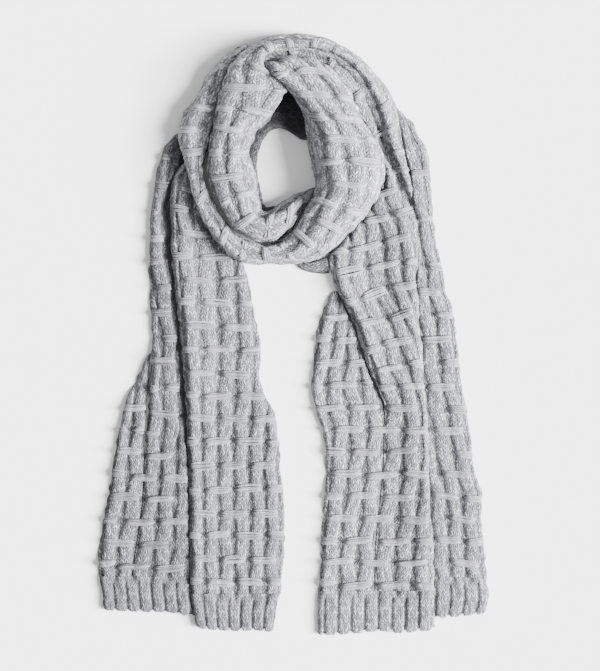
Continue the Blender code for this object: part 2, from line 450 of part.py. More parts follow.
def strip_points(shape, table, where, row, rib_lines):
    """Points of the outer and the plain side, one line of points for each station."""
    section = along(table, where)
    from_start, from_stop = where, distances(table)[-1] - where
    from_end = from_start if shape.rounds[0] else from_stop
    bow = shape.bows[0] * (1 - smoothstep(from_start, 0, 60)) + shape.bows[1] * (1 - smoothstep(from_stop, 0, 40))
    width = np.hypot(section.bx - section.ax, section.by - section.ay)[:, None]

    fine = (1 - np.cos(np.pi * np.linspace(0, 1, FINE))) / 2 * np.ones_like(width)
    height = outer_profile(shape, section, where, fine, from_end)
    plan_step = np.diff(fine, axis=1) * width
    arc_step = np.hypot(plan_step, np.diff(height, axis=1))
    zero = np.zeros_like(width)
    arc = np.concatenate([zero, np.cumsum(arc_step, axis=1)], axis=1)
    excess = np.concatenate([zero, np.cumsum(arc_step - plan_step, axis=1)], axis=1)
    rib_at = section.a_rib[:, None] + (section.b_rib - section.a_rib)[:, None] * fine
    rib_at = rib_at + (excess - excess[:, FINE // 2 : FINE // 2 + 1]) * ARCH_RIBS / RIB_PITCH

    low, high = rib_at[:, :1], rib_at[:, -1:]
    rib = np.clip(rib_lines[None, :], low, high)
    rib = np.where(rib - low < SNAP, low, rib)
    rib = np.where(high - rib < SNAP, high, rib)
    share = np.array([np.interp(r, line, f) for r, line, f in zip(rib, rib_at, fine)])
    top = np.array([np.interp(s, f, h) for s, f, h in zip(share, fine, height)])
    from_a = np.array([np.interp(s, f, a) for s, f, a in zip(share, fine, arc)])
    slope = np.gradient(height, axis=1) / np.maximum(np.gradient(fine * width, axis=1), 1e-6)
    lean = np.array([np.interp(s, f, g) for s, f, g in zip(share, fine, slope)])
    size = np.hypot(lean, 1.0)

    join_a, join_b = joined(shape.joins, where)
    edge_distance = np.minimum(from_a + 99 * join_a, arc[:, -1:] - from_a + 99 * join_b)
    push = relief(rib, row[:, None], shape.floats)
    push = np.where(push > 0, push * smoothstep(edge_distance, 0, 9), push * smoothstep(edge_distance, 0, 4))
    push = push * np.maximum(smoothstep(width, 6, 18), np.maximum(join_a, join_b))
    push = push * np.clip((section.crown[:, None] - 3.0) / 5.0, 0, 1)
    low_top = np.maximum(top + push / size, 0.0)
    spread = share - push * lean / size / width
    spread = np.where(join_a > 0, np.maximum(spread, 0), spread)
    spread = np.where(join_b > 0, np.minimum(spread, 1), spread)
    outer = place(section, spread, low_top, bow)

    inset = np.minimum(WALL, 0.3 * width) / width
    inner_share = inset + (1 - 2 * inset) * (np.linspace(0, 1, shape.plain_count)[None, :])
    inner = place(section, inner_share, plain_profile(shape, section, inner_share, from_end), bow)
    if shape.ledges[0]:
        reach = np.concatenate([-shape.ledges[0] / width, -LEDGE_STEP / width], axis=1)
        outer = np.concatenate([place(section, reach, LEDGE, bow), outer], axis=1)
        inner = np.concatenate([place(section, reach[:, :1], 0.0, bow), inner[:, 1:]], axis=1)
    if shape.ledges[1]:
        reach = np.concatenate([1 + LEDGE_STEP / width, 1 + shape.ledges[1] / width], axis=1)
        outer = np.concatenate([outer, place(section, reach, LEDGE, bow)], axis=1)
        inner = np.concatenate([inner[:, :-1], place(section, reach[:, 1:], 0.0, bow)], axis=1)
    return outer, inner


def add_object(name, points, faces, material):
    """One closed mesh, with its doubled points merged and its faces outwards."""
    mesh = bmesh.new()
    vertices = [mesh.verts.new(Vector(point) * MM) for point in points]
    for face in faces:
        mesh.faces.new([vertices[index] for index in face])
    bmesh.ops.remove_doubles(mesh, verts=mesh.verts, dist=2e-6)
    bmesh.ops.dissolve_degenerate(mesh, dist=1e-6, edges=mesh.edges)
    bmesh.ops.triangulate(mesh, faces=mesh.faces, ngon_method="EAR_CLIP")
    bmesh.ops.recalc_face_normals(mesh, faces=mesh.faces)
    data = bpy.data.meshes.new(name)
    mesh.to_mesh(data)
    mesh.free()
    data.materials.append(material)
    thing = bpy.data.objects.new(name, data)
    bpy.context.collection.objects.link(thing)
    return thing


def strip(name, table, material, rows, floats=True, rounds=(0, 0), bows=(0, 0), ledges=(0, 0), joins=(None, None),
          seams=(), plain_count=3):
    """One stretch of the cloth as a closed wall."""
    shape = Shape(rows, floats, rounds, bows, ledges, joins, seams, plain_count)
    where, row = strip_rows(shape, table)
    lines = (np.arange(-12, 12)[:, None] + np.array(RIB_LINES)).ravel()
    outer, inner = strip_points(shape, table, where, row, lines)
    ring = np.concatenate([outer, inner[:, ::-1]], axis=1)
    count, around = ring.shape[:2]
    index = np.arange(count * around).reshape(count, around)
    following = np.roll(index, -1, axis=1)
    sides = np.stack([index[:-1], following[:-1], following[1:], index[1:]], axis=-1).reshape(-1, 4)
    faces = [tuple(int(i) for i in face) for face in sides]
    faces += [tuple(int(i) for i in index[0]), tuple(int(i) for i in index[-1][::-1])]
    return add_object(name, ring.reshape(-1, 3).tolist(), faces, material)


def hidden_layers(name, material, stations=60):
    """The layers inside the winding: a low band with a flat underside, and a layered edge towards the hole."""
    rows = np.array(HIDDEN_LAYERS, float)
    where = np.linspace(0, len(rows) - 1, stations)
    slope = np.gradient(rows, axis=0)
    index = np.minimum(where.astype(int), len(rows) - 2)
    t = (where - index)[:, None]
    start = rows[index] * (2 * t**3 - 3 * t**2 + 1) + slope[index] * (t**3 - 2 * t**2 + t)
    end = rows[index + 1] * (3 * t**2 - 2 * t**3) + slope[index + 1] * (t**3 - t**2)
    outside, hole, top = np.split(start + end, [2, 4], axis=1)
    inwards = (hole - outside) / np.linalg.norm(hole - outside, axis=1)[:, None]
    outline = [(hole + inwards * out, height) for out, height in HIDDEN_EDGE]
    outline += [(outside + inwards * 3, 1.0), (outside, 0.7), (outside + inwards, 0.0)]
    around = len(outline)
    points = np.stack([np.hstack([plan, top * height]) for plan, height in outline], axis=1)
    index = np.arange(stations * around).reshape(stations, around)
    following = np.roll(index, -1, axis=1)
    sides = np.stack([index[:-1], following[:-1], following[1:], index[1:]], axis=-1).reshape(-1, 4)
    faces = [tuple(int(i) for i in face) for face in sides]
    faces += [tuple(int(i) for i in index[0]), tuple(int(i) for i in index[-1][::-1])]
    return add_object(name, points.reshape(-1, 3).tolist(), faces, material)


def wool(name, color):
    material = bpy.data.materials.new(name)
    material.use_nodes = True
    shader = material.node_tree.nodes["Principled BSDF"]
    shader.inputs["Base Color"].default_value = color
    shader.inputs["Roughness"].default_value = 0.9
    shader.inputs["Metallic"].default_value = 0.0
    return material


def centre_on_floor():
    """Moves all the meshes together, so that the origin lies under the middle of their box."""
    things = list(bpy.data.objects)
    points = np.array([tuple(v.co) for thing in things for v in thing.data.vertices])
    low, high = points.min(axis=0), points.max(axis=0)
    move = Vector((-(low[0] + high[0]) / 2, -(low[1] + high[1]) / 2, -low[2]))
    for thing in things:
        for vertex in thing.data.vertices:
            vertex.co += move
    print("box in mm", np.round((high - low) / MM, 2), "moved by", np.round(np.array(move) / MM, 2))


def clear_scene():
    for thing in list(bpy.data.objects):
        bpy.data.objects.remove(thing)


def main():
    clear_scene()
    knit = wool("grey wool knit", WOOL)
    strip("outer_coil", OUTER_COIL, knit, ((0, 0.35), (560, 22.5)), rounds=(18, 0), bows=(-10, 0), plain_count=5,
          seams=(("a", 0, 118, 0.65), ("b", 0, 70, 0.8), ("b", 300, 520, 0.8)))
    strip("inner_coil", INNER_COIL, knit, ((0, -29.6), (575, -7), (762.5, 0), (988, 9.3)), plain_count=6,
          joins=(None, (760, 790)), seams=(("a", 60, 290, 0.5), ("b", 200, 500, 0.85)))
    strip("left_tail_front", LEFT_TAIL_FRONT, knit, ((0, -2.2), (138.7, 2.98), (485.6, 16.5)), plain_count=4)
    strip("left_tail_back", LEFT_TAIL_BACK, knit, ((0, -3.4), (101.7, 0), (321, 8), (505, 15.55)), ledges=(0, 24),
          joins=((340, 370), None))
    strip("left_tail_side", LEFT_TAIL_SIDE, knit, ((0, 7.2), (63.5, 9.5), (236, 16.6)), joins=(None, (68, 98)))
    strip("right_tail_inner", RIGHT_TAIL_INNER, knit, ((0, -4.05), (104, 0), (331, 9.3)), ledges=(0, 24),
          joins=(None, (108, 138)))
    strip("under_layer", UNDER_LAYER, knit, ((0, 0.3), (40, 1.8)), floats=False, ledges=(0, 24))
    strip("right_tail_back", RIGHT_TAIL_BACK, knit, ((0, -12.0), (309.4, -0.3), (526.6, 8.6)), ledges=(24, 0))
    strip("left_front_hem", LEFT_FRONT_HEM, knit, ((0, 0), (40, 1.6)), floats=False, rounds=(0, 5), bows=(0, -3),
          plain_count=6)
    strip("left_back_hem", LEFT_BACK_HEM, knit, ((0, 0), (40, 1.6)), floats=False, rounds=(0, 5), ledges=(0, 24))
    strip("right_front_hem", RIGHT_FRONT_HEM, knit, ((0, 0), (46, 1.8)), floats=False, rounds=(0, 5), plain_count=7)
    strip("right_back_hem", RIGHT_BACK_HEM, knit, ((0, 0), (44, 1.7)), floats=False, rounds=(0, 5), ledges=(24, 0))
    hidden_layers("hidden_layers", wool("grey wool knit inside", HIDDEN_WOOL))
    centre_on_floor()


main()
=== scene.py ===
# %% [markdown]
# # A knitted scarf, wound once round and laid flat
#
# The real scarf is one long knitted rectangle in a soft grey melange wool, with ribs that run its whole
# length. Every 25 mm a row of short bars, each made of four loose strands, crosses the ribs in pairs and
# pulls them together, so that the cloth looks like a basket weave. It is wound once round, and both tails
# hang down to hems in a finer rib.
#
# The lesson builds each visible stretch of the cloth as one surface. A small table gives the stretch's two
# edges and its height at a few places, a smooth curve joins them, and the knit is then raised on the
# result.

from collections import namedtuple
from types import SimpleNamespace

import bpy
import numpy as np
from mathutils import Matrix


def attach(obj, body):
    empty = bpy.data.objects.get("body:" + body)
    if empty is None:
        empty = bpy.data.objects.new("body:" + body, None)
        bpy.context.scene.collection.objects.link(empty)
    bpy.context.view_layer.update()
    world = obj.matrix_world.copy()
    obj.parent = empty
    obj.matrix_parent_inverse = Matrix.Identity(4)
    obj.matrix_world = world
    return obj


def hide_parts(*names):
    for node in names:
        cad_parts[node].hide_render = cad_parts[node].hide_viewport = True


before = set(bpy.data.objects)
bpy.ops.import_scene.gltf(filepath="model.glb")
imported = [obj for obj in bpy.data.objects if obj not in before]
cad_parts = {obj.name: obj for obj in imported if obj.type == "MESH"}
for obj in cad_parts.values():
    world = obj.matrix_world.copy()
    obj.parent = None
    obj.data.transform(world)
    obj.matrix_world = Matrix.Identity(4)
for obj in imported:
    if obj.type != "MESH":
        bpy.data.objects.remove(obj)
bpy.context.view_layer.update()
print("nodes:", sorted(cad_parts))

# %% [markdown]
# ## The camera, the floor and the light
#
# The photograph looks straight down on a pale table, and soft light comes from the right: the shadows lie
# to the left of each tail, about as wide as the cloth is high. The camera stands far off with a long lens,
# so that the raised winding isn't enlarged. Two soft suns, a low one and a wider one above it, and an even
# sky give that light, and a plain floor takes the shadows.

# %% Camera, floor and light
MM = 0.001
MM_PER_PIXEL = 1.1
IMAGE_WIDTH, IMAGE_HEIGHT = 600, 671
VIEW_CENTRE = (7.2, -2.0)
CAMERA_HEIGHT = 6.0
SENSOR_WIDTH = 36.0
FLOOR_HALF = 6.0
FLOOR_DROP = 0.0003
SKY_STRENGTH = 0.75
# Each sun's name, its strength, its width as an angle, and its lean to the right, both in radians.
SUNS = (("low window light", 7.5, 0.25, 1.2), ("soft window light", 18.4, 0.5, 0.93))
SUN_LEAN_BACK = 0.12


def linear(hex_colour):
    """A colour from its sRGB hex value: each channel over 255, then the sRGB curve undone."""
    value = np.array([int(hex_colour[i : i + 2], 16) for i in (1, 3, 5)]) / 255
    value = np.where(value <= 0.04045, value / 12.92, ((value + 0.055) / 1.055) ** 2.4)
    return (*value.tolist(), 1.0)


def add_node(tree, kind, links=None, **settings):
    """Adds a node with its settings. links names its sockets and what each of them gets."""
    node = tree.nodes.new(kind)
    for name, value in settings.items():
        setattr(node, name, value)
    for name, value in (links or {}).items():
        if isinstance(value, bpy.types.NodeSocket):
            tree.links.new(value, node.inputs[name])
        else:
            node.inputs[name].default_value = value
    return node


camera_data = bpy.data.cameras.new("camera")
camera_data.sensor_fit = "AUTO"
camera_data.sensor_width = SENSOR_WIDTH
longer_side = max(IMAGE_WIDTH, IMAGE_HEIGHT) * MM_PER_PIXEL * MM
camera_data.lens = SENSOR_WIDTH * CAMERA_HEIGHT / longer_side
camera_data.clip_end = 50
camera = bpy.data.objects.new("camera", camera_data)
camera.location = (VIEW_CENTRE[0] * MM, VIEW_CENTRE[1] * MM, CAMERA_HEIGHT)
bpy.context.scene.collection.objects.link(camera)
bpy.context.scene.camera = camera

floor_mesh = bpy.data.meshes.new("floor")
corners = [(x * FLOOR_HALF, y * FLOOR_HALF, 0) for x, y in ((-1, -1), (1, -1), (1, 1), (-1, 1))]
floor_mesh.from_pydata(corners, [], [(0, 1, 2, 3)])
floor = bpy.data.objects.new("floor", floor_mesh)
floor.location.z = -FLOOR_DROP
bpy.context.scene.collection.objects.link(floor)
# Matt paper has no gloss at all, so only the shadows mark it.
floor_material = bpy.data.materials.new("pale matt paper")
floor_material.use_nodes = True
floor_shader = floor_material.node_tree.nodes["Principled BSDF"]
floor_shader.inputs["Base Color"].default_value = linear("#F8F8F8")
floor_shader.inputs["Roughness"].default_value = 1.0
floor_shader.inputs["Specular IOR Level"].default_value = 0.0
floor_mesh.materials.append(floor_material)

world = bpy.data.worlds.new("even sky")
world.use_nodes = True
world.node_tree.nodes["Background"].inputs["Color"].default_value = (1, 1, 1, 1)
world.node_tree.nodes["Background"].inputs["Strength"].default_value = SKY_STRENGTH
bpy.context.scene.world = world
for name, strength, width, lean in SUNS:
    sun_data = bpy.data.lights.new(name, "SUN")
    sun_data.energy = strength
    sun_data.angle = width
    sun = bpy.data.objects.new(name, sun_data)
    sun.rotation_euler = (SUN_LEAN_BACK, lean, 0.0)
    bpy.context.scene.collection.objects.link(sun)
print("camera lens in mm:", round(camera_data.lens, 1))

# %% [markdown]
# ## The stretches of cloth, as tables
#
# A row of a table is a section across the cloth, from its edge a to its edge b, in millimetres: the edges'
# places in plan, ax, ay and bx, by, and a_rib and b_rib, the numbers of the rib lines there, counted in
# plan. Then come a_foot and b_foot, the heights of the edges, crown, the height in between, edge, the
# distance over which the cloth rounds up to it, and a_fold and b_fold, by which a folded edge stands above
# the rest.
#
# A cloth simulation would fold a sheet by itself, but not into these very folds, so each stretch is drawn.
# The places in plan were read off the photograph. The heights can't be seen in it, so they follow
# from the cloth's thickness and from how many layers lie on each other. A row that stops early goes on with
# the numbers of the row above it, or with zeros in a first row.

# %% Sections
LEDGE = 2.6  # height of the flat cloth that lies under the panel in front
Section = namedtuple("Section", "ax ay bx by a_rib b_rib a_foot b_foot crown edge a_fold b_fold")

OUTER_COIL = [
    (44, 288, -31, 296, -4.6, -1.6, 24, 24, 50, 14),
    (53, 277, -25, 283, -4.4, -1.3, 22, 22, 52),
    (62, 265, -11, 269, -4.2, -1.1, 20, 17, 54, 16),
    (67, 252, 0, 257, -4, -0.9, 17, 13, 56, 22),
    (74.5, 237, 8, 242, -3.8, -0.7, 17, 10, 57, 30),
    (84, 221, 12, 225, -3.7, -0.5, 20, 8, 58),
    (94, 205, 14, 208, -3.8, -0.4),
    (99, 188, 18, 188, -3.8, -0.4),
    (98, 169, 21, 172, -3.7, -0.4, 19, 12, 57),
    (92, 151, 23, 160, -3.5, -0.4, 17, 20, 54),
    (80, 132, 17, 149, -3.3, -0.4, 15, 22, 50),
    (66, 116, 11, 139, -3.1, -0.4, 13, 21, 46),
    (52, 102, 6, 128, -2.8, -0.4, 12, 18, 41),
    (38, 89, -1, 118, -2.5, -0.4, 11, 14, 36),
    (20, 81, -10, 109, -2.1, -0.4, 5, 10, 32),
    (2, 77.5, -18, 102, -1.8, -0.4, 3, 8, 30),
    (-18, 76.5, -28, 99, -1.6, -0.4, 3, 8, 29),
    (-40, 76, -40, 101, -1.6, -0.4, 4),
    (-58, 78, -53, 105, -1.6, -0.4, 10),
    (-72, 85, -65, 111, -1.6, -0.4),
    (-82, 95, -73, 121, -1.6, -0.4),
    (-92, 109, -81, 132, -1.6, -0.5, 10, 8, 30),
    (-102, 125, -88, 145, -1.6, -0.5, 12),
    (-109, 141, -95, 158, -1.6, -0.5, 15, 10, 31),
    (-114, 158, -99, 172, -1.6, -0.6, 18, 10, 32),
    (-117, 175, -100, 186, -1.6, -0.6),
    (-123, 194, -97, 199.5, -1.8, -0.6, 16, 9, 31),
    (-128, 211, -93.5, 213.5, -2, -0.5, 11, 8, 30),
    (-127, 228, -89.5, 229.5, -2, -0.5, 8, 8, 29),
    (-121, 244, -87, 241, -1.9, -0.5, 2),
    (-111, 258, -84, 253, -1.6, -0.5, 2, 8, 28),
    (-103, 270, -80.5, 265.5, -1.4, -0.5, 2, 8, 27),
    (-97, 284, -75.5, 279.5, -1.3, -0.5, 2, 8, 26),
    (-86, 297, -68.5, 293, -1.2, -0.5, 2, 8, 25),
    (-72, 310, -60, 303, -1, -0.6, 2, 6, 22),
    (-61, 316.5, -51.5, 309, -0.9, -0.6, 2, 5, 18),
    (-52, 320.6, -45.5, 314, -0.8, -0.6, 2, 4, 14),
]
INNER_COIL = [
    (22, 144, 34, 164, -6.2, -5, 3, 3, 14, 99),
    (14, 137, 22.5, 162, -6.3, -5, 4, 4, 17),
    (6, 128.5, 11, 158, -6.4, -5, 5, 6, 25),
    (-1, 117, 1, 155, -6.5, -4.9, 6, 8, 33),
    (-11, 107.5, -9, 149, -6.6, -4.8, 7, 10, 39),
    (-23, 100, -20, 142, -6.6, -4.8, 8, 11, 43, 40),
    (-40, 101.5, -28, 136, -6.6, -4.8, 9, 12, 45, 34),
    (-54, 107.5, -33, 136, -6.6, -4.7, 9, 12, 46),
    (-64.5, 114, -35.5, 140, -6.6, -4.7, 9, 12, 46, 30),
    (-72.5, 124.5, -37, 146, -6.6, -4.6, 9, 12, 47),
    (-80, 136.5, -38, 153, -6.7, -4.6),
    (-87, 150, -39, 161, -6.8, -4.6, 9, 12, 48),
    (-94, 166, -41, 171, -6.9, -4.6, 10),
    (-96, 182, -44, 184, -6.9, -4.6),
    (-95, 198, -48, 198, -6.9, -4.6, 9),
    (-93, 214, -46, 210, -6.9, -4.6, 8),
    (-90, 230, -40, 223, -6.9, -4.6),
    (-87, 245, -24, 238, -6.9, -4.4),
    (-83.5, 262, -11, 261, -6.9, -4.2),
    (-78.5, 278, -5, 269, -6.8, -4.2, 8, 13),
    (-71.5, 293, -16, 281, -6.6, -4.5, 8, 14, 47),
    (-61.5, 305, -24, 288, -6.4, -4.8, 7, 14, 46),
    (-47, 317.3, -26, 294, -6.3, -4.7, 4, 15, 45),
    (-31, 326.5, -16, 299.5, -6.2, -4.6, 2, 15, 44, 22),
    (-13, 330.5, -5, 300, -6.1, -4.5, 2, 15, 43, 18),
    (8, 331, 8, 299.5, -6.1, -4.5),
    (27, 328.5, 22, 296, -6, -4.5),
    (45, 322, 37, 291.5, -6, -4.5, 2, 14, 42),
    (62, 312, 46, 283.5, -5.9, -4.4, 2, 13, 41),
    (78, 299, 55.5, 272, -5.9, -4.4, 2, 12, 39),
    (90.5, 284, 61.5, 261.5, -5.9, -4.5, 2, 11, 36, 20),
    (101, 271, 66.5, 248.5, -5.9, -4.4, 3, 9, 33, 24),
    (108.5, 259, 73.5, 236, -6, -4.4, 3, 8, 29, 30),
    (113.5, 243, 83, 224, -6, -4.5, 3, 7, 25),
    (117, 225, 89, 212, -6, -4.7, 3, 6, 21),
    (122, 204, 90, 199, -5.9, -4.4, 3, 5, 18, 28),
    (127, 185, 91, 184, -5.8, -3.9, 3, 4, 17, 25, 2),
    (130, 165, 88, 163, -5.75, -3.5, 3, 2, 14, 22, 4),
    (132, 145, 80, 143, -5.65, -2.9, 3, 1, 12, 18, 5),
    (135, 122, 66, 122, -5.3, -1.5, 3, 1, 10, 14, 6),
    (137.5, 100, 50, 100, -5.2, -0.4, 3, 1, 9, 12, 7, 2),
    (137.5, 80, 37.7, 87.3, -5.1, 0.2, 3, 1, 8.5, 11, 7, 4),
    (136.5, 56, 42.7, 57, -4.9, 0, 3, 3, 8, 10, 7, 8),
    (137.5, 30, 56.5, 30, -4.35, 0),
    (139, 5, 67.5, 5, -3.75, 0.1),
    (140.5, -15, 74, -15, -3.35, 0.2),
    (143, -40, 81.5, -40, -3, 0.2, 3, 3, 8, 10, 7, 7),
    (145, -62, 92, -62, -2.65, 0.1, 3, 3, 8, 9, 7, 3),
    (146, -82, 98, -82, -2.45, 0, 3, 3, 8, 6, 7, 0),
    (147.5, -110, 98, -110, -2.4, 0),
    (149, -150, 97, -150, -2.6, 0),
    (151, -190, 93, -190, -2.85, 0),
    (153, -230, 89, -230, -3.1, 0),
    (154.5, -282, 88, -282, -3.3, 0),
]
LEFT_TAIL_FRONT = [
    (-112, 196, -100, 188, -0.5, 0.6, 3, 1, 7, 10, 3),
    (-124, 187, -101, 176, -0.5, 1, 3, 1, 8, 10, 6),
    (-134, 171, -101, 160, -0.5, 1.5, 3, 1, 8, 10, 8),
    (-137, 150, -96, 140, -0.4, 1.9),
    (-136, 125, -86, 119, -0.3, 2.3),
    (-136.5, 95, -66, 95, -0.3, 2.95, 3, 0),
    (-132.5, 60, -50, 60, -0.3, 3.8),
    (-130, 35, -46, 35, -0.2, 4),
    (-127.5, 10, -41, 10, -0.1, 4.1),
    (-124.5, -20, -37, -20, -0.1, 4.3),
    (-122, -50, -37.5, -52, 0, 4.5, 3, 0, 8, 10, 7),
    (-120.5, -80, -24, -82, 0, 5.3, 3, 0, 8, 10, 5),
    (-119.5, -105, -18, -107, 0, 5.8, 3, 0, 8, 10, 4),
    (-118, -150, -15, -150, 0, 6.1, 3, 0, 8, 10, 3),
    (-117, -195, -10.5, -196, 0, 6.3),
    (-116.5, -240, -11.5, -240, 0, 6.3),
    (-115.5, -285, -15, -285, 0, 6.1),
]
LEFT_TAIL_BACK = [
    (-118, 228, -108, 221, 0.4, 1, 0, LEDGE, 6, 10),
    (-129, 221, -117, 213, 0.3, 1, 0, LEDGE, 7),
    (-140, 210, -123, 201, 0.4, 1.5, 0, LEDGE, 9),
    (-149, 190, -127, 184, 0.4, 1.6, 0, LEDGE, 10),
    (-154, 165, -138, 163, 0.4, 1.15),
    (-157, 140, -145.5, 140, 0.5, 1),
    (-160, 110, -143, 110, 0.3, 1),
    (-161, 85, -139.5, 85, 0.1, 1),
    (-159.5, 55, -134.5, 55, -0.1, 1),
    (-158, 20, -130, 20, -0.3, 1, 0, LEDGE, 9),
    (-157, -10, -127.5, -10, -0.5, 1, 2),
    (-158, -35, -126, -35, -0.65, 1, 3, LEDGE, 9, 10, 4),
    (-160.5, -65, -125, -65, -0.75, 1, 3, LEDGE, 9, 9),
    (-163, -95, -123.5, -95, -0.95, 1, 3, LEDGE, 8.5, 8, 0),
    (-165, -120, -121, -120, -1, 1.5, 3, LEDGE, 8, 5),
    (-165.5, -150, -119, -150, -1, 1.6),
    (-168, -190, -118, -190, -1, 1.75),
    (-174, -230, -117.5, -230, -1, 1.9),
    (-179, -266, -117, -266, -1, 2.1),
]
LEFT_TAIL_SIDE = [
    (-160, -21, -158.6, -21, 1.2, 1.3, 0, 0, 3, 10),
    (-167, -35, -159.3, -35, 0.95, 1.4, 0, 1, 6),
    (-177, -54, -160.5, -55, 0.8, 1.6, 0, LEDGE, 7),
    (-186, -72, -162, -72, 0.5, 1.7, 0, LEDGE, 8, 8),
    (-191, -95, -163.5, -95, 0.3, 1.8, 0, LEDGE, 8, 7),
    (-196, -115, -165.5, -115, 0, 2, 0, LEDGE, 8, 6),
    (-200, -140, -165.8, -140, 0, 2),
    (-203.5, -165, -167, -165, 0, 2),
    (-208, -190, -168.5, -190, 0, 2),
    (-212, -214, -171.5, -214, 0, 2),
    (-216.5, -244, -176.5, -243, -0.1, 2),
    (-215, -266, -179.5, -266, -0.1, 2),
]
RIGHT_TAIL_INNER = [
    (41, 47, 46.3, 47, -3.6, -3.3, 0, LEDGE, 3.2, 10),
    (36, 38, 50.8, 38, -3.8, -2.8, 0, LEDGE, 6),
    (29.5, 23, 59, 23, -4, -2.3, 0, LEDGE, 7),
    (24, 0, 68, 0, -4.2, -1.3, 0, LEDGE, 8),
    (21, -25, 75.8, -25, -4.1, -0.8, 0, LEDGE, 8, 8),
    (18, -56, 87.5, -56, -3.9, -0.1, 0, LEDGE, 8, 7),
    (22, -82, 96.8, -82, -3.7, 0, 0, LEDGE, 8, 6),
    (31, -106, 97.2, -106, -3.5, 0),
    (34.5, -145, 96.2, -145, -3.3, 0),
    (31.5, -190, 92.3, -190, -3.2, 0),
    (29, -230, 88.3, -230, -3.1, 0),
    (26, -282, 87.2, -282, -3.1, 0),
]
UNDER_LAYER = [
    (4, 74.6, 4.5, 77.5, 0, 0.1, 0, LEDGE, 3.4, 10),
    (9.5, 70.5, 11, 78.3, 0, 0.5, 0, LEDGE, 6),
    (20, 66.7, 20.5, 80.2, 0, 0.8, 0, LEDGE, 7),
    (31, 66, 29.6, 83.8, 0, 0.9),
    (38, 67, 35, 86.6, 0, 1),
]
RIGHT_TAIL_BACK = [
    (107, 250, 110.5, 252, 2.6, 2.9, LEDGE, 0, 1.5, 10),
    (112.7, 241, 118.5, 243, 2.6, 3, LEDGE, 0, 3.5),
    (117.5, 229, 131, 231, 2.6, 3.3, LEDGE, 0, 5.5),
    (120.5, 215, 137.5, 216, 2.5, 3.4, LEDGE, 0, 7.5),
    (122.7, 201, 146, 202, 2.4, 3.5, LEDGE, 0, 10),
    (126.7, 186, 148.5, 187, 2.4, 3.5),
    (129.9, 167, 150, 167, 2.3, 3.4),
    (131.9, 146, 151.5, 145, 2.2, 3.3),
    (134.7, 122, 153.5, 121, 2, 3.2, LEDGE, 0, 9, 9),
    (136.4, 100, 157, 98, 1.85, 3.15),
    (136.3, 75, 163, 74, 1.6, 3.15, LEDGE, 0, 8, 8),
    (135.3, 50, 166.5, 49, 1.3, 3.2),
    (136.3, 25, 174, 25, 1.05, 3.2),
    (138.3, 0, 178.5, 0, 1.02, 3.2),
    (140.3, -25, 181, -25, 1, 3.2),
    (142.3, -50, 183.5, -52, 0.97, 3.2),
    (144.3, -80, 189, -82, 0.92, 3.2),
    (146.3, -110, 194, -112, 0.75, 3.2),
    (147.8, -145, 197.5, -147, 0.45, 3.2),
    (149.3, -172, 206, -175, 0.1, 3.3),
    (150.8, -205, 205.5, -207, 0, 3.3),
    (152.3, -235, 209, -237, 0, 3.3),
    (153.3, -266, 211, -268, 0, 3.3),
]
LEFT_FRONT_HEM = [
    (-115.5, -285, -15, -285, 0, 7, 3, 0, 8, 10, 3),
    (-112, -305, -20.5, -305, 0, 7, 3, 0, 8, 8, 2),
    (-109, -322, -22, -326, 0, 7, 3, 0, 8, 8, 1),
]
LEFT_BACK_HEM = [
    (-215, -266, -117, -266, 0, 7, 0, LEDGE, 8, 6),
    (-212, -285, -116.5, -285, 0, 7),
    (-211, -303, -113.5, -309, 0, 7),
]
RIGHT_FRONT_HEM = [
    (26, -282, 154.5, -282, 0.5, 9.2, 0, 3, 8, 8, 0, 7),
    (25, -305, 154, -305, 0.5, 9.2, 0, 3, 8, 8, 0, 5),
    (25, -331, 153.5, -326, 0.5, 9.2, 0, 3, 8, 8, 0, 2),
]
RIGHT_BACK_HEM = [
    (155.5, -266, 211, -268, 0, 3.8, LEDGE, 0, 8, 8),
    (155.5, -288, 214.5, -290, 0, 3.8),
    (154.5, -312, 209, -308, 0, 3.8),
]
print("numbers in a section:", len(Section._fields), "sections of the outer coil:", len(OUTER_COIL))

# %% [markdown]
# ## The strips
#
# Each stretch of cloth is a strip: its table and how it meets the others. The rows of bars lie across the
# ribs, and rows says where: (millimetres along the strip, number of the row). Where the sum of a row's
# number and a rib line's number is even, a bar bridges that line.

# %% Strips
Strip = namedtuple("Strip", "name table rows bars ends bows tilt ledges joins seams crease body deep tone")
PLAIN = dict(bars=True, ends=(0, 0), bows=(0, 0), tilt=0.0, ledges=(0, 0), joins=(None, None), seams=(),
             crease=(), body=(), deep=0.8, tone=0.0)


def filled(table, length):
    """The table's rows, each filled up with numbers from the row above it, and the first one with zeros."""
    whole = [(0,) * length]
    for row in table:
        whole.append(row + whole[-1][len(row) :])
    return whole[1:]


def strip_of(name, table, rows, **changes):
    """A strip with the usual settings and its own changes. ends and bows belong to its start and its stop,
    ledges and joins to its edges a and b. A join is where that edge begins to run on level into its
    neighbour, and where it does so wholly. seams lists (edge, from, to, share of the crown): an edge that
    leans on the next coil. crease lists (distance, share of the width) of a deep fold. tilt turns the rows
    on the ribs. body gives a hem the ribs and the row that it goes on from. deep is how dark painted shade
    makes its ledges, which lie in the shade under the panel in front, and the last setting is painted shade
    over the whole stretch, which paints light where it is below 0."""
    table = filled(table, len(Section._fields))
    return Strip(name=name, table=table, rows=rows, **{**PLAIN, **changes})
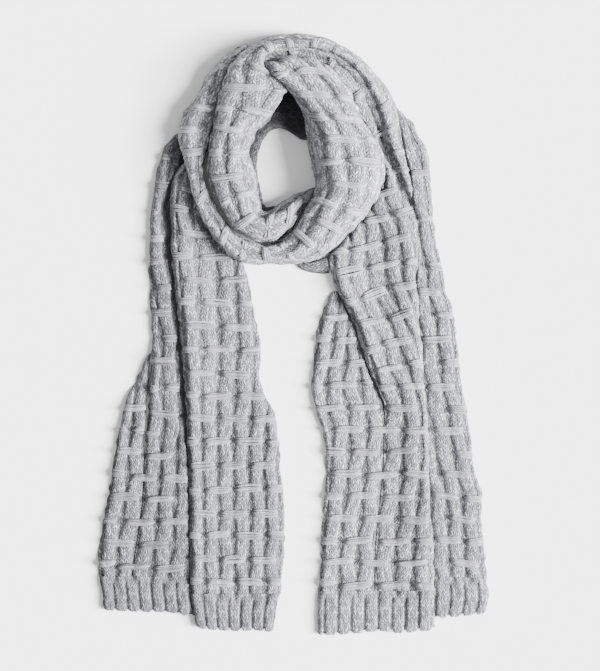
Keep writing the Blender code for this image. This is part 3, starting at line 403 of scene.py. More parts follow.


# A strip's last setting paints shade over its whole stretch: on the lower panels and tails, and on the hidden
# under layer. Below 0, on the raised outer coil, it paints light.
STRIPS = [
    strip_of("outer_coil", OUTER_COIL, ((0, 0.35), (560, 22.5)), ends=(10, 0), bows=(-13, 0),
             seams=(("a", 0, 118, 0.65), ("b", 0, 70, 0.75), ("b", 300, 560, 0.8)), tone=-0.4),
    strip_of("inner_coil", INNER_COIL, ((0, -29.6), (568.5, -7), (598, -6), (621.5, -5), (652, -4), (679, -3),
             (704, -2), (732, -1), (756, 0), (981.5, 9.3)), tilt=0.16, joins=(None, (753, 783)),
             seams=(("a", 60, 300, 0.6), ("b", 200, 500, 0.5), ("b", 200, 262, 0.85), ("b", 345, 500, 0.85)),
             crease=((292, 0.78), (328, 0.74), (362, 0.6), (389, 0.5), (414, 0.5), (439, 0.55), (474, 0.72),
                     (499, 0.62), (514, 0.43), (554, 0.05))),
    strip_of("left_tail_front", LEFT_TAIL_FRONT, ((0, -2.2), (49.6, -0.35), (138.7, 2.98), (485.6, 16.5)),
             tone=0.35),
    strip_of("left_tail_back", LEFT_TAIL_BACK, ((0, -3.4), (101.7, 0), (183.9, 3), (321, 8), (442, 13),
             (505, 15.55)), ledges=(0, 24), joins=((340, 370), (325, 365)), deep=1.8, tone=0.85),
    strip_of("left_tail_side", LEFT_TAIL_SIDE, ((0, 6.75), (75.7, 9.5), (121.1, 11.45), (225.2, 15.6),
             (248.2, 16.6)), joins=(None, (80, 110)), tone=0.65),
    strip_of("right_tail_inner", RIGHT_TAIL_INNER, ((0, -4.05), (46.9, -2.25), (104, 0), (331, 9.3)),
             ledges=(0, 24), joins=(None, (108, 138))),
    strip_of("under_layer", UNDER_LAYER, ((0, 0.3), (40, 1.8)), bars=False, ledges=(0, 24), tone=0.8),
    strip_of("right_tail_back", RIGHT_TAIL_BACK, ((0, -12.0), (309.4, -0.3), (526.6, 8.6)), ledges=(24, 0),
             joins=((-1, 0), None), tone=0.12),
    strip_of("left_front_hem", LEFT_FRONT_HEM, ((0, 0), (40, 1.6)), bars=False, ends=(0, 5), bows=(0, -3),
             body=(0.0, 6.1, 16.5), tone=0.65),
    strip_of("left_back_hem", LEFT_BACK_HEM, ((0, 0), (40, 1.6)), bars=False, ends=(0, 5), ledges=(0, 24),
             joins=(None, (-1, 0)), body=(-3.1, 2.1, 15.55), tone=0.85),
    strip_of("right_front_hem", RIGHT_FRONT_HEM, ((0, 0), (46, 1.8)), bars=False, ends=(0, 5),
             body=(-3.1, 3.3, 9.3), tone=0.1),
    strip_of("right_back_hem", RIGHT_BACK_HEM, ((0, 0), (44, 1.7)), bars=False, ends=(0, 5), ledges=(24, 0),
             joins=((-1, 0), None), body=(0.0, 3.3, 8.6), tone=0.15),
]
# The edge at which a strip carries the bars that lie on a join.
OWNERS = {"inner_coil": "b", "left_tail_back": "a"}
print("strips:", len(STRIPS), "sections:", sum(len(strip.table) for strip in STRIPS))

# %% [markdown]
# ## The form of the cloth
#
# A folded knit keeps its edges round and its middle level, and where it is wound it stands up as an arch.
# So a section rises from its edges as a quarter circle would, and stays level in between. Where two coils
# lean on each other their edges don't come down to the table, and where one panel runs on into the next
# there's no edge at all.

# %% Form
MOVE = (1.25, -0.71)  # from the tables' place to the frame's
WALL = 8.0
LAP, LAP_SLOPE = 38.0, 16.0  # how far a raised edge's underside stays up, and then comes down
FOLD_FALL = (8.0, LAP + 10.0)  # where a fold's extra height begins and ends
SEAM_BLEND = 30.0
INSET_SHARE = 0.3
SLAB_CROWN, SLAB_EDGE, SLAB_FADE = 20.0, 60.0, 40.0  # lower than this crown a strip is a slab, not an arch
HOLLOW_WIDTH = (14.0, 24.0)


def smoothstep(value, low, high):
    """0 below low, 1 above high, and an S-curve between them."""
    part = np.clip((value - low) / (high - low), 0.0, 1.0)
    return part * part * (3.0 - 2.0 * part)


def rounded(distance, radius):
    """A quarter circle: 0 at the edge, 1 from the radius inwards."""
    part = np.clip(distance / radius, 0.0, 1.0)
    return np.sqrt(1.0 - (1.0 - part) ** 2)


def unit(vectors):
    """The vectors at length 1."""
    return vectors / np.maximum(np.linalg.norm(vectors, axis=-1, keepdims=True), 1e-9)


def distances(table):
    """How far along the strip's middle line each row of its table lies."""
    rows = np.array(table, float)
    middle = (rows[:, 0:2] + rows[:, 2:4]) / 2
    return np.concatenate([[0.0], np.cumsum(np.linalg.norm(np.diff(middle, axis=0), axis=1))])


def smooth_rows(table, at, where):
    """The table's columns on a smooth curve through its rows, which lie at the given distances: cubics that
    share their slope at each row."""
    rows = np.array(table, float)
    slope = np.gradient(rows, at, axis=0)
    index = np.clip(np.searchsorted(at, where, side="right") - 1, 0, len(at) - 2)
    length = (at[index + 1] - at[index])[:, None]
    t = (where[:, None] - at[index][:, None]) / length
    start = rows[index] * (2 * t**3 - 3 * t**2 + 1) + slope[index] * length * (t**3 - 2 * t**2 + t)
    end = rows[index + 1] * (3 * t**2 - 2 * t**3) + slope[index + 1] * length * (t**3 - t**2)
    return start + end


def width_of(section):
    """The distance in plan between a section's edges."""
    return np.hypot(section.bx - section.ax, section.by - section.ay)


def joined(strip, where):
    """How far each edge has run on into its neighbour, from 0 to 1, for each station."""
    return [smoothstep(where, *join)[:, None] if join else np.zeros((len(where), 1)) for join in strip.joins]


def seam_height(strip, section, where, edge, foot):
    """Height of an edge: its foot, or its share of the crown where it leans on the next coil."""
    where = where[:, None]
    for name, start, stop, share in strip.seams:
        if name == edge:
            near = smoothstep(where, start - 1, start + SEAM_BLEND) if start else np.ones_like(where)
            near = near * (1 - smoothstep(where, stop - SEAM_BLEND, stop))
            foot = foot + np.maximum(section.crown * share - foot, 0) * near
    return foot


def outer_profile(strip, section, where, share, from_end):
    """Height of the rib crests: from an edge's height up to the crown as a quarter circle."""
    width = width_of(section)
    edge = np.minimum(section.edge, width / 2)
    low_a = seam_height(strip, section, where, "a", section.a_foot)
    low_b = seam_height(strip, section, where, "b", section.b_foot)
    low = low_a * (1 - share) + low_b * share
    folds = section.a_fold * (1 - smoothstep(share * width, *FOLD_FALL))
    folds = folds + section.b_fold * (1 - smoothstep((1 - share) * width, *FOLD_FALL))
    join_a, join_b = joined(strip, where)
    stand_a, stand_b = rounded(share * width, edge), rounded((1 - share) * width, edge)
    stand = (stand_a + (1 - stand_a) * join_a) * (stand_b + (1 - stand_b) * join_b)
    if strip.ends[0] or strip.ends[1]:
        stand = stand * rounded(from_end + 1.0, strip.ends[0] or strip.ends[1])[:, None]
    return low + (section.crown + folds - low) * stand


def plain_profile(strip, section, share, from_end):
    """Height of the plain underside, which lies flat, or follows the arch a wall's thickness lower."""
    width = width_of(section)
    inset = np.minimum(WALL, INSET_SHARE * width)
    a_foot = section.a_foot * (not strip.ledges[0])
    b_foot = section.b_foot * (not strip.ledges[1])
    flat = np.clip((SLAB_EDGE - section.edge) / SLAB_FADE, 0, 1) * (section.crown < SLAB_CROWN)
    chord = a_foot * (1 - share) + b_foot * share
    both = a_foot * (1 - smoothstep(share * width, LAP, LAP + LAP_SLOPE))
    both = np.maximum(both, b_foot * (1 - smoothstep((1 - share) * width, LAP, LAP + LAP_SLOPE)))
    base = chord * (1 - flat) + both * flat
    edge = np.maximum(np.minimum(section.edge, width / 2) - inset, 2.0)
    stand = rounded(share * width - inset, edge) * rounded((1 - share) * width - inset, edge)
    if strip.ends[0] or strip.ends[1]:
        stand = stand * rounded(from_end - WALL, strip.ends[0] or strip.ends[1])[:, None]
    hollow = np.maximum(section.crown - WALL - base, 0.0) * (1 - flat)
    return base + hollow * smoothstep(width, *HOLLOW_WIDTH) * stand


def place(section, share, height, bow):
    """Points in plan: share of the way from edge a to edge b, pushed along the strip by the bow."""
    span_x, span_y = section.bx - section.ax, section.by - section.ay
    width = width_of(section)
    push = bow[:, None] * (1 - (2 * np.clip(share, 0, 1) - 1) ** 2)
    x = section.ax + span_x * share - span_y / width * push + MOVE[0]
    y = section.ay + span_y * share + span_x / width * push + MOVE[1]
    return np.stack([x, y, height * np.ones_like(x)], axis=-1)


print("strip lengths in mm:", {strip.name: round(distances(strip.table)[-1]) for strip in STRIPS})

# %% [markdown]
# ## The knit
#
# Each rib is a soft cushion of three columns of stitches, and the line between two ribs is a strip of purl
# cloth. Where a bar bridges that line it is pulled shut, and half a repeat further on it opens again, so
# the ribs sway from side to side. relief works that out for every point of the surface at once. Hand and
# wool make it uneven, so a smooth noise moves the rib lines and the rows a little. Real loops, modelled one
# by one, would take millions of faces, so the ribs are in the mesh and the stitches are in the material.

# %% Relief
RIB_DEPTH, HEM_DEPTH = 3.1, 2.2
SHUT, OPEN, HEM_VALLEY = 0.03, 0.14, 0.08  # half-widths of valleys, in ribs
CREST_POWER, HEM_POWER = 2.8, 6.0
SQUEEZE, BAR_HALF = 1.3, 4.5
ROW_PITCH = 25.3


def value_noise(a, b, seed):
    """Smooth noise from -1 to 1: seeded random numbers at whole places, blended between them."""
    table = np.random.default_rng(seed).uniform(-1, 1, (64, 64))
    i, j = np.floor(a).astype(int), np.floor(b).astype(int)
    u, v = a - i, b - j
    u, v = u * u * (3 - 2 * u), v * v * (3 - 2 * v)
    low = table[i % 64, j % 64] * (1 - u) + table[(i + 1) % 64, j % 64] * u
    high = table[i % 64, (j + 1) % 64] * (1 - u) + table[(i + 1) % 64, (j + 1) % 64] * u
    return low * (1 - v) + high * v


def relief(rib, row, bars):
    """Depth below the ribs' crests, the stitch column, and the depth in the valley from 0 to 1. A valley's
    half-width swings between SHUT and SHUT + OPEN as a cosine of the row, out of step with its neighbours'.
    Across a rib the height is a superellipse, and the bars press the ribs down by SQUEEZE."""
    line = np.floor(rib)
    part = rib - line
    if bars:
        left = SHUT + OPEN * (0.5 - 0.5 * np.cos(np.pi * (row + line)))
        right = SHUT + OPEN * (0.5 + 0.5 * np.cos(np.pi * (row + line)))
    else:
        left = right = np.full_like(rib, HEM_VALLEY)
    across = np.clip((part - left) / (1 - left - right), 0.0, 1.0)
    hump = (1 - np.abs(2 * across - 1) ** (CREST_POWER if bars else HEM_POWER)) ** 0.7
    into_left = np.clip(part / left, 0, 1) * 0.5
    into_right = np.clip((1 - part) / right, 0, 1) * 0.5
    wale = 4 * line + into_left + 3 * across + (0.5 - into_right)
    depth = (RIB_DEPTH if bars else HEM_DEPTH) * (1 - hump)
    if bars:
        pressed = np.exp(-(((row - np.round(row)) * ROW_PITCH / BAR_HALF) ** 2))
        depth = depth + SQUEEZE * pressed * hump
    return depth, wale, 1 - hump


line_depth, crest_depth = relief(np.array([0.0, 0.5]), np.array([0.5, 0.5]), True)[0]
print("rib depth in mm, halfway between two rows of bars:", round(line_depth - crest_depth, 1))

# %% [markdown]
# ## The surface of a strip
#
# Knit keeps its width wherever it goes. Even steps in plan would be simpler, but they would stretch the
# stitches on a steep side, so a section is walked in even steps along its arc. The result is a grid of
# points with the number of the rib and of the row at each of them, which is all that the relief, the
# stitches and the bars need.

# %% Knit surface
SPACING = 1.12  # between neighbouring points of the grid
FINE_COLUMNS = 97
RIB_PITCH = 19.5
ARCH_RIBS = 0.6  # how much of an arch's extra length holds extra ribs
CREASE_DEPTH, CREASE_WIDTH = 13.0, 4.5
CREASE_BEFORE, CREASE_AFTER = 25.0, 15.0
BOW_REACH = (60.0, 40.0)
RIB_WAVER, ROW_WAVER = 0.07, 0.05
STEADY_REACH = 20.0
TILT_STARTS, TILT_STOPS = (474, 554), (719, 769)
FADE_REACH, FADE_WIDTH, FADE_CROWN = (-3, 5), (6, 18), (3.0, 8.0)  # the relief fades at edges and tips


def unroll(strip, section, where, from_end):
    """Even steps along the arc across each section: their shares of the width, heights and rib numbers, and
    the arc's length. Ribs are counted in plan, and a steep side, longer than it looks there, gets more."""
    width = width_of(section)
    fine = (1 - np.cos(np.pi * np.linspace(0, 1, FINE_COLUMNS))) / 2 * np.ones_like(width)
    height = outer_profile(strip, section, where, fine, from_end)
    plan_step = np.diff(fine, axis=1) * width
    arc_step = np.hypot(plan_step, np.diff(height, axis=1))
    zero = np.zeros((len(where), 1))
    arc = np.concatenate([zero, np.cumsum(arc_step, axis=1)], axis=1)
    excess = np.concatenate([zero, np.cumsum(arc_step - plan_step, axis=1)], axis=1)
    middle = FINE_COLUMNS // 2
    rib = section.a_rib + (section.b_rib - section.a_rib) * fine
    rib = rib + (excess - excess[:, middle : middle + 1]) * ARCH_RIBS / RIB_PITCH
    part = np.linspace(0, 1, int(arc[:, -1].max() / SPACING) + 2)
    share = np.stack([np.interp(part * a[-1], a, f) for a, f in zip(arc, fine)])
    top = np.stack([np.interp(s, f, h) for s, f, h in zip(share, fine, height)])
    ribs = np.stack([np.interp(s, f, r) for s, f, r in zip(share, fine, rib)])
    return part[None, :], share, top, ribs, arc[:, -1]


def crease_depth(strip, where, share, width):
    """Depth of a strip's deep fold: a bell curve across it, which fades out before its first and after its
    last point."""
    at = np.array(strip.crease)
    off = (share - np.interp(where, at[:, 0], at[:, 1])[:, None]) * width
    deep = smoothstep(where, at[0, 0] - CREASE_BEFORE, at[0, 0] + CREASE_AFTER)
    deep = deep * (1 - smoothstep(where, at[-1, 0] - CREASE_AFTER, at[-1, 0] + CREASE_AFTER))
    return CREASE_DEPTH * deep[:, None] * np.exp(-((off / CREASE_WIDTH) ** 2))


def knit_surface(strip):
    """The strip's outer side as a grid: points, normals, and the rib and row numbers of each point."""
    length = distances(strip.table)[-1]
    where = np.linspace(0, length, int(length / SPACING) + 2)
    section = Section(*smooth_rows(strip.table, distances(strip.table), where).T[..., None])
    width = width_of(section)
    from_end = where if strip.ends[0] else length - where
    bow = strip.bows[0] * (1 - smoothstep(where, 0, BOW_REACH[0]))
    bow = bow + strip.bows[1] * (1 - smoothstep(length - where, 0, BOW_REACH[1]))
    part, share, top, ribs, arc = unroll(strip, section, where, from_end)
    if strip.crease:
        top = top - crease_depth(strip, where, share, width)
    points = place(section, share, top, bow)
    rows = np.interp(where, *np.array(strip.rows).T)[:, None] * np.ones_like(ribs)
    if strip.tilt:
        tilted = smoothstep(where, *TILT_STARTS) * (1 - smoothstep(where, *TILT_STOPS))
        rows = rows - strip.tilt * tilted[:, None] * (ribs + 2.0)
    join_a, join_b = joined(strip, where)
    from_a, from_b = part * arc[:, None], (1 - part) * arc[:, None]
    if strip.bars:
        seed = len(strip.table)
        steady = 1 - join_a * (1 - smoothstep(from_a, 0, STEADY_REACH))
        steady = steady * (1 - join_b * (1 - smoothstep(from_b, 0, STEADY_REACH)))
        ribs = ribs + RIB_WAVER * value_noise(ribs * 0.7, rows * 0.8, seed) * steady
        rows = rows + ROW_WAVER * value_noise(ribs * 0.45, rows * 0.5 + 9, seed + 1) * steady
    normal = unit(np.cross(np.gradient(points, axis=0), np.gradient(points, axis=1)))
    normal = normal * np.sign(np.sum(normal[..., 2]))
    fade_a = np.maximum(smoothstep(from_a, *FADE_REACH), join_a)
    fade_b = np.maximum(smoothstep(from_b, *FADE_REACH), join_b)
    fade = fade_a * fade_b * np.clip((section.crown - FADE_CROWN[0]) / (FADE_CROWN[1] - FADE_CROWN[0]), 0, 1)
    fade = fade * np.maximum(smoothstep(width, *FADE_WIDTH), np.maximum(join_a, join_b))
    return SimpleNamespace(where=where, section=section, points=points, normal=normal, rib=ribs, row=rows,
                           width=width, from_a=from_a, from_b=from_b, join_a=join_a, join_b=join_b,
                           fade=fade, from_end=from_end, bow=bow, arc=arc)


print("grid of the first strip:", knit_surface(STRIPS[0]).rib.shape)

# %% [markdown]
# ## From arrays to meshes
#
# Cloth has two sides and a thickness, so every piece is a closed tube: rings of points with quads between
# them, and a flat face at either end. A modifier could thicken a single sheet, but here the two sides
# differ. The UV carries the stitches, and an attribute called shade carries painted shade: how deep each
# point lies between other cloth, and how dark its whole stretch lies. On a strand it also carries the
# strand's own grey.

# %% Mesh
def add_mesh(name, points, faces, material, uv=None, shade=None, flat=()):
    """A smooth mesh from arrays in mm, with a UV and a shade for each vertex, and some flat faces."""
    data = bpy.data.meshes.new(name)
    data.from_pydata((points.reshape(-1, 3) * MM).tolist(), [], faces)
    smooth = np.ones(len(data.polygons), bool)
    smooth[np.asarray(flat, int)] = False
    data.polygons.foreach_set("use_smooth", smooth)
    if uv is not None:
        layer = data.uv_layers.new(name="cloth")
        index = np.empty(len(data.loops), np.int32)
        data.loops.foreach_get("vertex_index", index)
        layer.data.foreach_set("uv", uv.reshape(-1, 2)[index].ravel())
    tone = data.attributes.new("shade", "FLOAT", "POINT")
    tone.data.foreach_set("value", np.zeros(len(data.vertices)) if shade is None else shade.ravel())
    data.materials.append(material)
    data.update()
    thing = bpy.data.objects.new(name, data)
    bpy.context.scene.collection.objects.link(thing)
    return thing


def ring_faces(stations, around):
    """Quads between closed rings of points, and one flat face at each end."""
    index = np.arange(stations * around).reshape(stations, around)
    following = np.roll(index, -1, axis=1)
    sides = np.stack([index[:-1], following[:-1], following[1:], index[1:]], axis=-1).reshape(-1, 4)
    return sides.tolist() + [index[0][::-1].tolist(), index[-1].tolist()]


def outward(thing):
    """Turns the faces outwards if the closed mesh's signed volume is negative."""
    data = thing.data
    data.calc_loop_triangles()
    corners = np.empty(len(data.loop_triangles) * 3, np.int32)
    data.loop_triangles.foreach_get("vertices", corners)
    points = np.empty(len(data.vertices) * 3, np.float32)
    data.vertices.foreach_get("co", points)
    a, b, c = np.moveaxis(points.reshape(-1, 3)[corners.reshape(-1, 3)], 1, 0)
    if np.sum(a * np.cross(b, c)) < 0:
        data.flip_normals()
    return len(data.loop_triangles)


print("faces of a tube of 3 rings with 4 points each:", len(ring_faces(3, 4)))

# %% [markdown]
# ## The wool
#
# The yarn is a melange: fibres from near white to dark grey are spun together, so each stitch is lighter or
# darker than the next. Wool scatters light between its fibres, which a rough surface with a soft sheen
# gives. A stitch is a V with two legs, about 4.9 mm wide and 4.4 mm high, and the cloth's UV counts its
# columns and courses. The purl cloth in the valleys lies in the ribs' shade, and that shade is painted into
# its colour.
#
# The pattern is arithmetic on the UV, so it is written as lists of sums. Each row holds a result's name,
# the operation, and its inputs, which are numbers or the names of earlier results. A result x is the stitch
# column and y the course, both drawn off line a little by a slow noise, waver. across is 0 in the middle of
# a stitch and 0.5 at its side, slanted is the course along its leaning legs, and leg and side are a leg's
# round shape. On the strands the noise runs in streaks along the yarn.

# %% Materials
COURSE_PITCH, WALE_PITCH = 4.4, 4.9
FIBRE_CLUMP = 1.25  # in mm, as the two bumps are
STITCH_BUMP, STREAK_BUMP = 1.3, 0.5
PLACE_SUMS = [
    ("drawn", "MULTIPLY_ADD", "waver", 0.5, 0.25),
    ("x", "ADD", "u", "drawn"),
    ("y", "MULTIPLY_ADD", "waver", 1.2, "v"),
    ("fibre", "MULTIPLY_ADD", "noise", 2.6, -0.8),
]
STITCH_SUMS = [
    ("column", "FRACT", "x"),
    ("off", "SUBTRACT", "column", 0.5),
    ("across", "ABSOLUTE", "off"),
    ("lean", "MULTIPLY", "across", 1.8),
    ("slanted", "SUBTRACT", "y", "lean"),
    ("course", "FRACT", "slanted"),
    ("rise", "MULTIPLY_ADD", "course", 2.0, -1.0),
    ("rise", "ABSOLUTE", "rise"),
    ("rise", "POWER", "rise", 2.2),
    ("leg", "SUBTRACT", 1.0, "rise"),
    ("bulge", "MULTIPLY_ADD", "across", 4.0, -1.0),
    ("bulge", "ABSOLUTE", "bulge"),
    ("bulge", "POWER", "bulge", 4.0),
    ("side", "SUBTRACT", 1.0, "bulge"),
    ("shape", "MULTIPLY", "leg", "side"),
    ("half", "MULTIPLY", "x", 2.0),
    ("cell_x", "FLOOR", "half"),
    ("cell_y", "FLOOR", "slanted"),
]
STREAK_SUMS = [("cell_x", "MULTIPLY", "x", 9.0), ("cell_y", "MULTIPLY", "y", 1.2)]
COLOUR_SUMS = [
    ("grain", "MULTIPLY", "fibre", 0.36),
    ("mix", "MULTIPLY_ADD", "tone", 0.4, "grain"),
    # On a stitch, this adds the leg's round shape to the colour: painted light in its middle, painted shade
    # at its sides.
    ("mix", "MULTIPLY_ADD", "shape", 0.28, "mix"),
    # The shade attribute darkens the colour from here on: painted shade.
    ("painted_shade_loss", "MULTIPLY", "shade", 0.45),
    ("left", "SUBTRACT", 1.0, "painted_shade_loss"),
    ("height", "MULTIPLY_ADD", "fibre", 0.35, "shape"),
]


def wool_material(name, dark, middle, light, stitches=True):
    """Melange wool: a random grey for each leg of a stitch, or streaks along a strand, with finer noise for
    the fibres. The sums give its place between the dark, middle and light colour, and the height of its bump.
    On a stitch the leg's round shape is painted into the colour as well, lighter in its middle and darker at
    its sides, as painted light and shade, and the shade attribute darkens the colour as painted shade.
    Fibres are too fine to show, so their noise is as coarse as clumps of them, FIBRE_CLUMP across."""
    material = bpy.data.materials.new(name)
    material.use_nodes = True
    tree = material.node_tree
    shader = tree.nodes["Principled BSDF"]
    shader.inputs["Roughness"].default_value = 0.95
    shader.inputs["Specular IOR Level"].default_value = 0.1
    shader.inputs["Sheen Weight"].default_value = 0.15
    shader.inputs["Sheen Roughness"].default_value = 0.6
    solid = add_node(tree, "ShaderNodeTexCoord").outputs["Object"]
    uv = add_node(tree, "ShaderNodeUVMap", uv_map="cloth").outputs["UV"]
    parts = add_node(tree, "ShaderNodeSeparateXYZ", {"Vector": uv})
    waver = add_node(tree, "ShaderNodeTexNoise", {"Vector": uv, "Scale": 0.9, "Detail": 1.0})
    noise = add_node(tree, "ShaderNodeTexNoise", {"Vector": solid, "Scale": 1 / (FIBRE_CLUMP * MM),
                                                 "Detail": 2.0, "Roughness": 0.9})
    shade = add_node(tree, "ShaderNodeAttribute", attribute_name="shade")
    cell = add_node(tree, "ShaderNodeCombineXYZ")
    if stitches:
        tone = add_node(tree, "ShaderNodeTexWhiteNoise", {"Vector": cell.outputs[0]}, noise_dimensions="2D")
    else:
        tone = add_node(tree, "ShaderNodeTexNoise", {"Vector": cell.outputs[0], "Scale": 1.0, "Detail": 3.0})
    known = {"u": parts.outputs["X"], "v": parts.outputs["Y"], "waver": waver.outputs["Fac"],
             "noise": noise.outputs["Fac"], "shade": shade.outputs["Fac"], "tone": tone.outputs[0],
             "shape": tone.outputs[0]}
    for result, operation, *inputs in PLACE_SUMS + (STITCH_SUMS if stitches else STREAK_SUMS) + COLOUR_SUMS:
        links = {socket: known.get(value, value) for socket, value in enumerate(inputs)}
        known[result] = add_node(tree, "ShaderNodeMath", links, operation=operation).outputs[0]
    tree.links.new(known["cell_x"], cell.inputs["X"])
    tree.links.new(known["cell_y"], cell.inputs["Y"])
    ramp = add_node(tree, "ShaderNodeValToRGB", {"Fac": known["mix"]})
    ramp.color_ramp.elements[0].position = 0.15
    ramp.color_ramp.elements[0].color = linear(dark)
    ramp.color_ramp.elements[1].position = 0.90
    ramp.color_ramp.elements[1].color = linear(light)
    ramp.color_ramp.elements.new(0.55).color = linear(middle)
    shaded = add_node(tree, "ShaderNodeVectorMath", {0: ramp.outputs["Color"], "Scale": known["left"]},
                      operation="SCALE")
    tree.links.new(shaded.outputs[0], shader.inputs["Base Color"])
    depth = (STITCH_BUMP if stitches else STREAK_BUMP) * MM
    bump = add_node(tree, "ShaderNodeBump", {"Strength": 1.0, "Distance": depth, "Height": known["height"]})
    tree.links.new(bump.outputs["Normal"], shader.inputs["Normal"])
    return material


# The knit is soft and matt, and every stitch is a fleck of its own grey. The slipped strands aren't looped,
# so they look smoother, and their colours are a little paler: painted light, for the light they catch on
# top. Inside the winding the same knit lies in deep shade, and its darker colours are painted shade.
knit_wool = wool_material("melange wool knit", "#3C3C40", "#7C7C82", "#C6C6CC")
float_wool = wool_material("melange wool strands", "#4A4A4F", "#86868C", "#D2D2D8", stitches=False)
inner_wool_in_painted_shade = wool_material("melange wool knit in painted shade", "#1C1C1E", "#4A4A4E", "#808084")
print("materials:", [material.name for material in (knit_wool, float_wool, inner_wool_in_painted_shade)])

# %% [markdown]
# ## The cloth
#
# The grid is raised by the relief along its own normals, and closed by the same plain underside as the
# solid has. A ledge is the part of a panel that runs on flat under the panel in front of it. A hem's last
# rows are drawn back a little in each valley, because a knitted edge curls and is never a straight line.

# %% Hem edges and ledges
HEM_BLEND = 11.0
RAGGED = 14.0
VALLEY_PULL, UNEVEN_PULL = 1.8, 2.0
CORNER_PULL, CORNER_WIDTH = 4.5, 8.0
LEDGE_START = 2.0
PLAIN_COURSES = 6.0


def blend_into_hem(strip, surface, depth, valley):
    """The relief at a hem's start goes over from the body's ribs above it to the hem's own finer ribs."""
    low, high, last = strip.body
    share = surface.from_a / surface.arc[:, None]
    before, _, valley_before = relief(low + (high - low) * share, np.full_like(share, last), True)
    near = (1 - smoothstep(surface.where, 0, HEM_BLEND))[:, None]
    return depth + (before - depth) * near, valley + (valley_before - valley) * near


def hem_edge(surface, valley):
    """How far a hem's last rows are drawn back, as steps in plan: the knit side more in a valley and at a
    corner, and unevenly, and the plain side evenly."""
    where = surface.where
    ahead = unit(np.gradient(surface.points[..., :2], axis=0))
    last = smoothstep(where, where[-1] - RAGGED, where[-1])[:, None]
    corner = 1 - smoothstep(np.minimum(surface.from_a, surface.from_b), 0, CORNER_WIDTH)
    noise = value_noise(surface.rib / 1.7, 0 * surface.row, 8)
    pull = (VALLEY_PULL * valley + UNEVEN_PULL * noise + CORNER_PULL * corner) * last
    return ahead * pull[..., None], CORNER_PULL * ahead[:, ahead.shape[1] // 2, None] * last[..., None]


def plain_uv(surface, share):
    """The UV on a plain side, at shares of the width: its columns and courses."""
    courses = surface.row[:, :1] * PLAIN_COURSES * np.ones_like(share)
    return np.stack([share * surface.width / WALE_PITCH, courses], axis=-1)


def add_ledge(strip, surface, edge, outer, uv, shade, inner):
    """Adds columns beyond edge a (0) or b (1), for cloth that runs on flat under the panel in front."""
    width, ledge = surface.width, strip.ledges[edge]
    reach = np.array([[-ledge, -ledge / 2, -LEDGE_START]]) / width
    if edge:
        reach = 1 - reach[:, ::-1]
    far = reach[:, -1:] if edge else reach[:, :1]
    top = place(surface.section, reach, np.full(reach.shape, LEDGE - 0.1), surface.bow)
    under = place(surface.section, far, 0.0, surface.bow)
    # The ledge gets the strip's deep value as painted shade, for the shade under the panel in front.
    pairs = [(outer, top), (uv, plain_uv(surface, reach)), (shade, np.full(reach.shape, strip.deep))]
    outer, uv, shade = [np.concatenate(pair if edge else pair[::-1], axis=1) for pair in pairs]
    inner = np.concatenate([inner[:, :-1], under] if edge else [under, inner[:, 1:]], axis=1)
    return outer, uv, shade, inner


print("a hem's edge is drawn back by up to", VALLEY_PULL + UNEVEN_PULL + CORNER_PULL, "mm")

# %% Cloth
PLAIN_COLUMNS = 6
EDGE_KNOBS, KNOB_WIDTH, KNOB_ROWS = 1.1, 5.0, 6.5
FREE_EDGE = 7.0
WOBBLE = 0.35
# Painted shade: how much darker the deep middle of a valley is with bars and on a hem, and how much darker
# cloth low by the table is, fading out over the heights of LOW_CLOTH.
VALLEY_SHADE, HEM_SHADE, LOW_SHADE = 0.5, 0.1, 0.35
LOW_CLOTH = (2, 9)


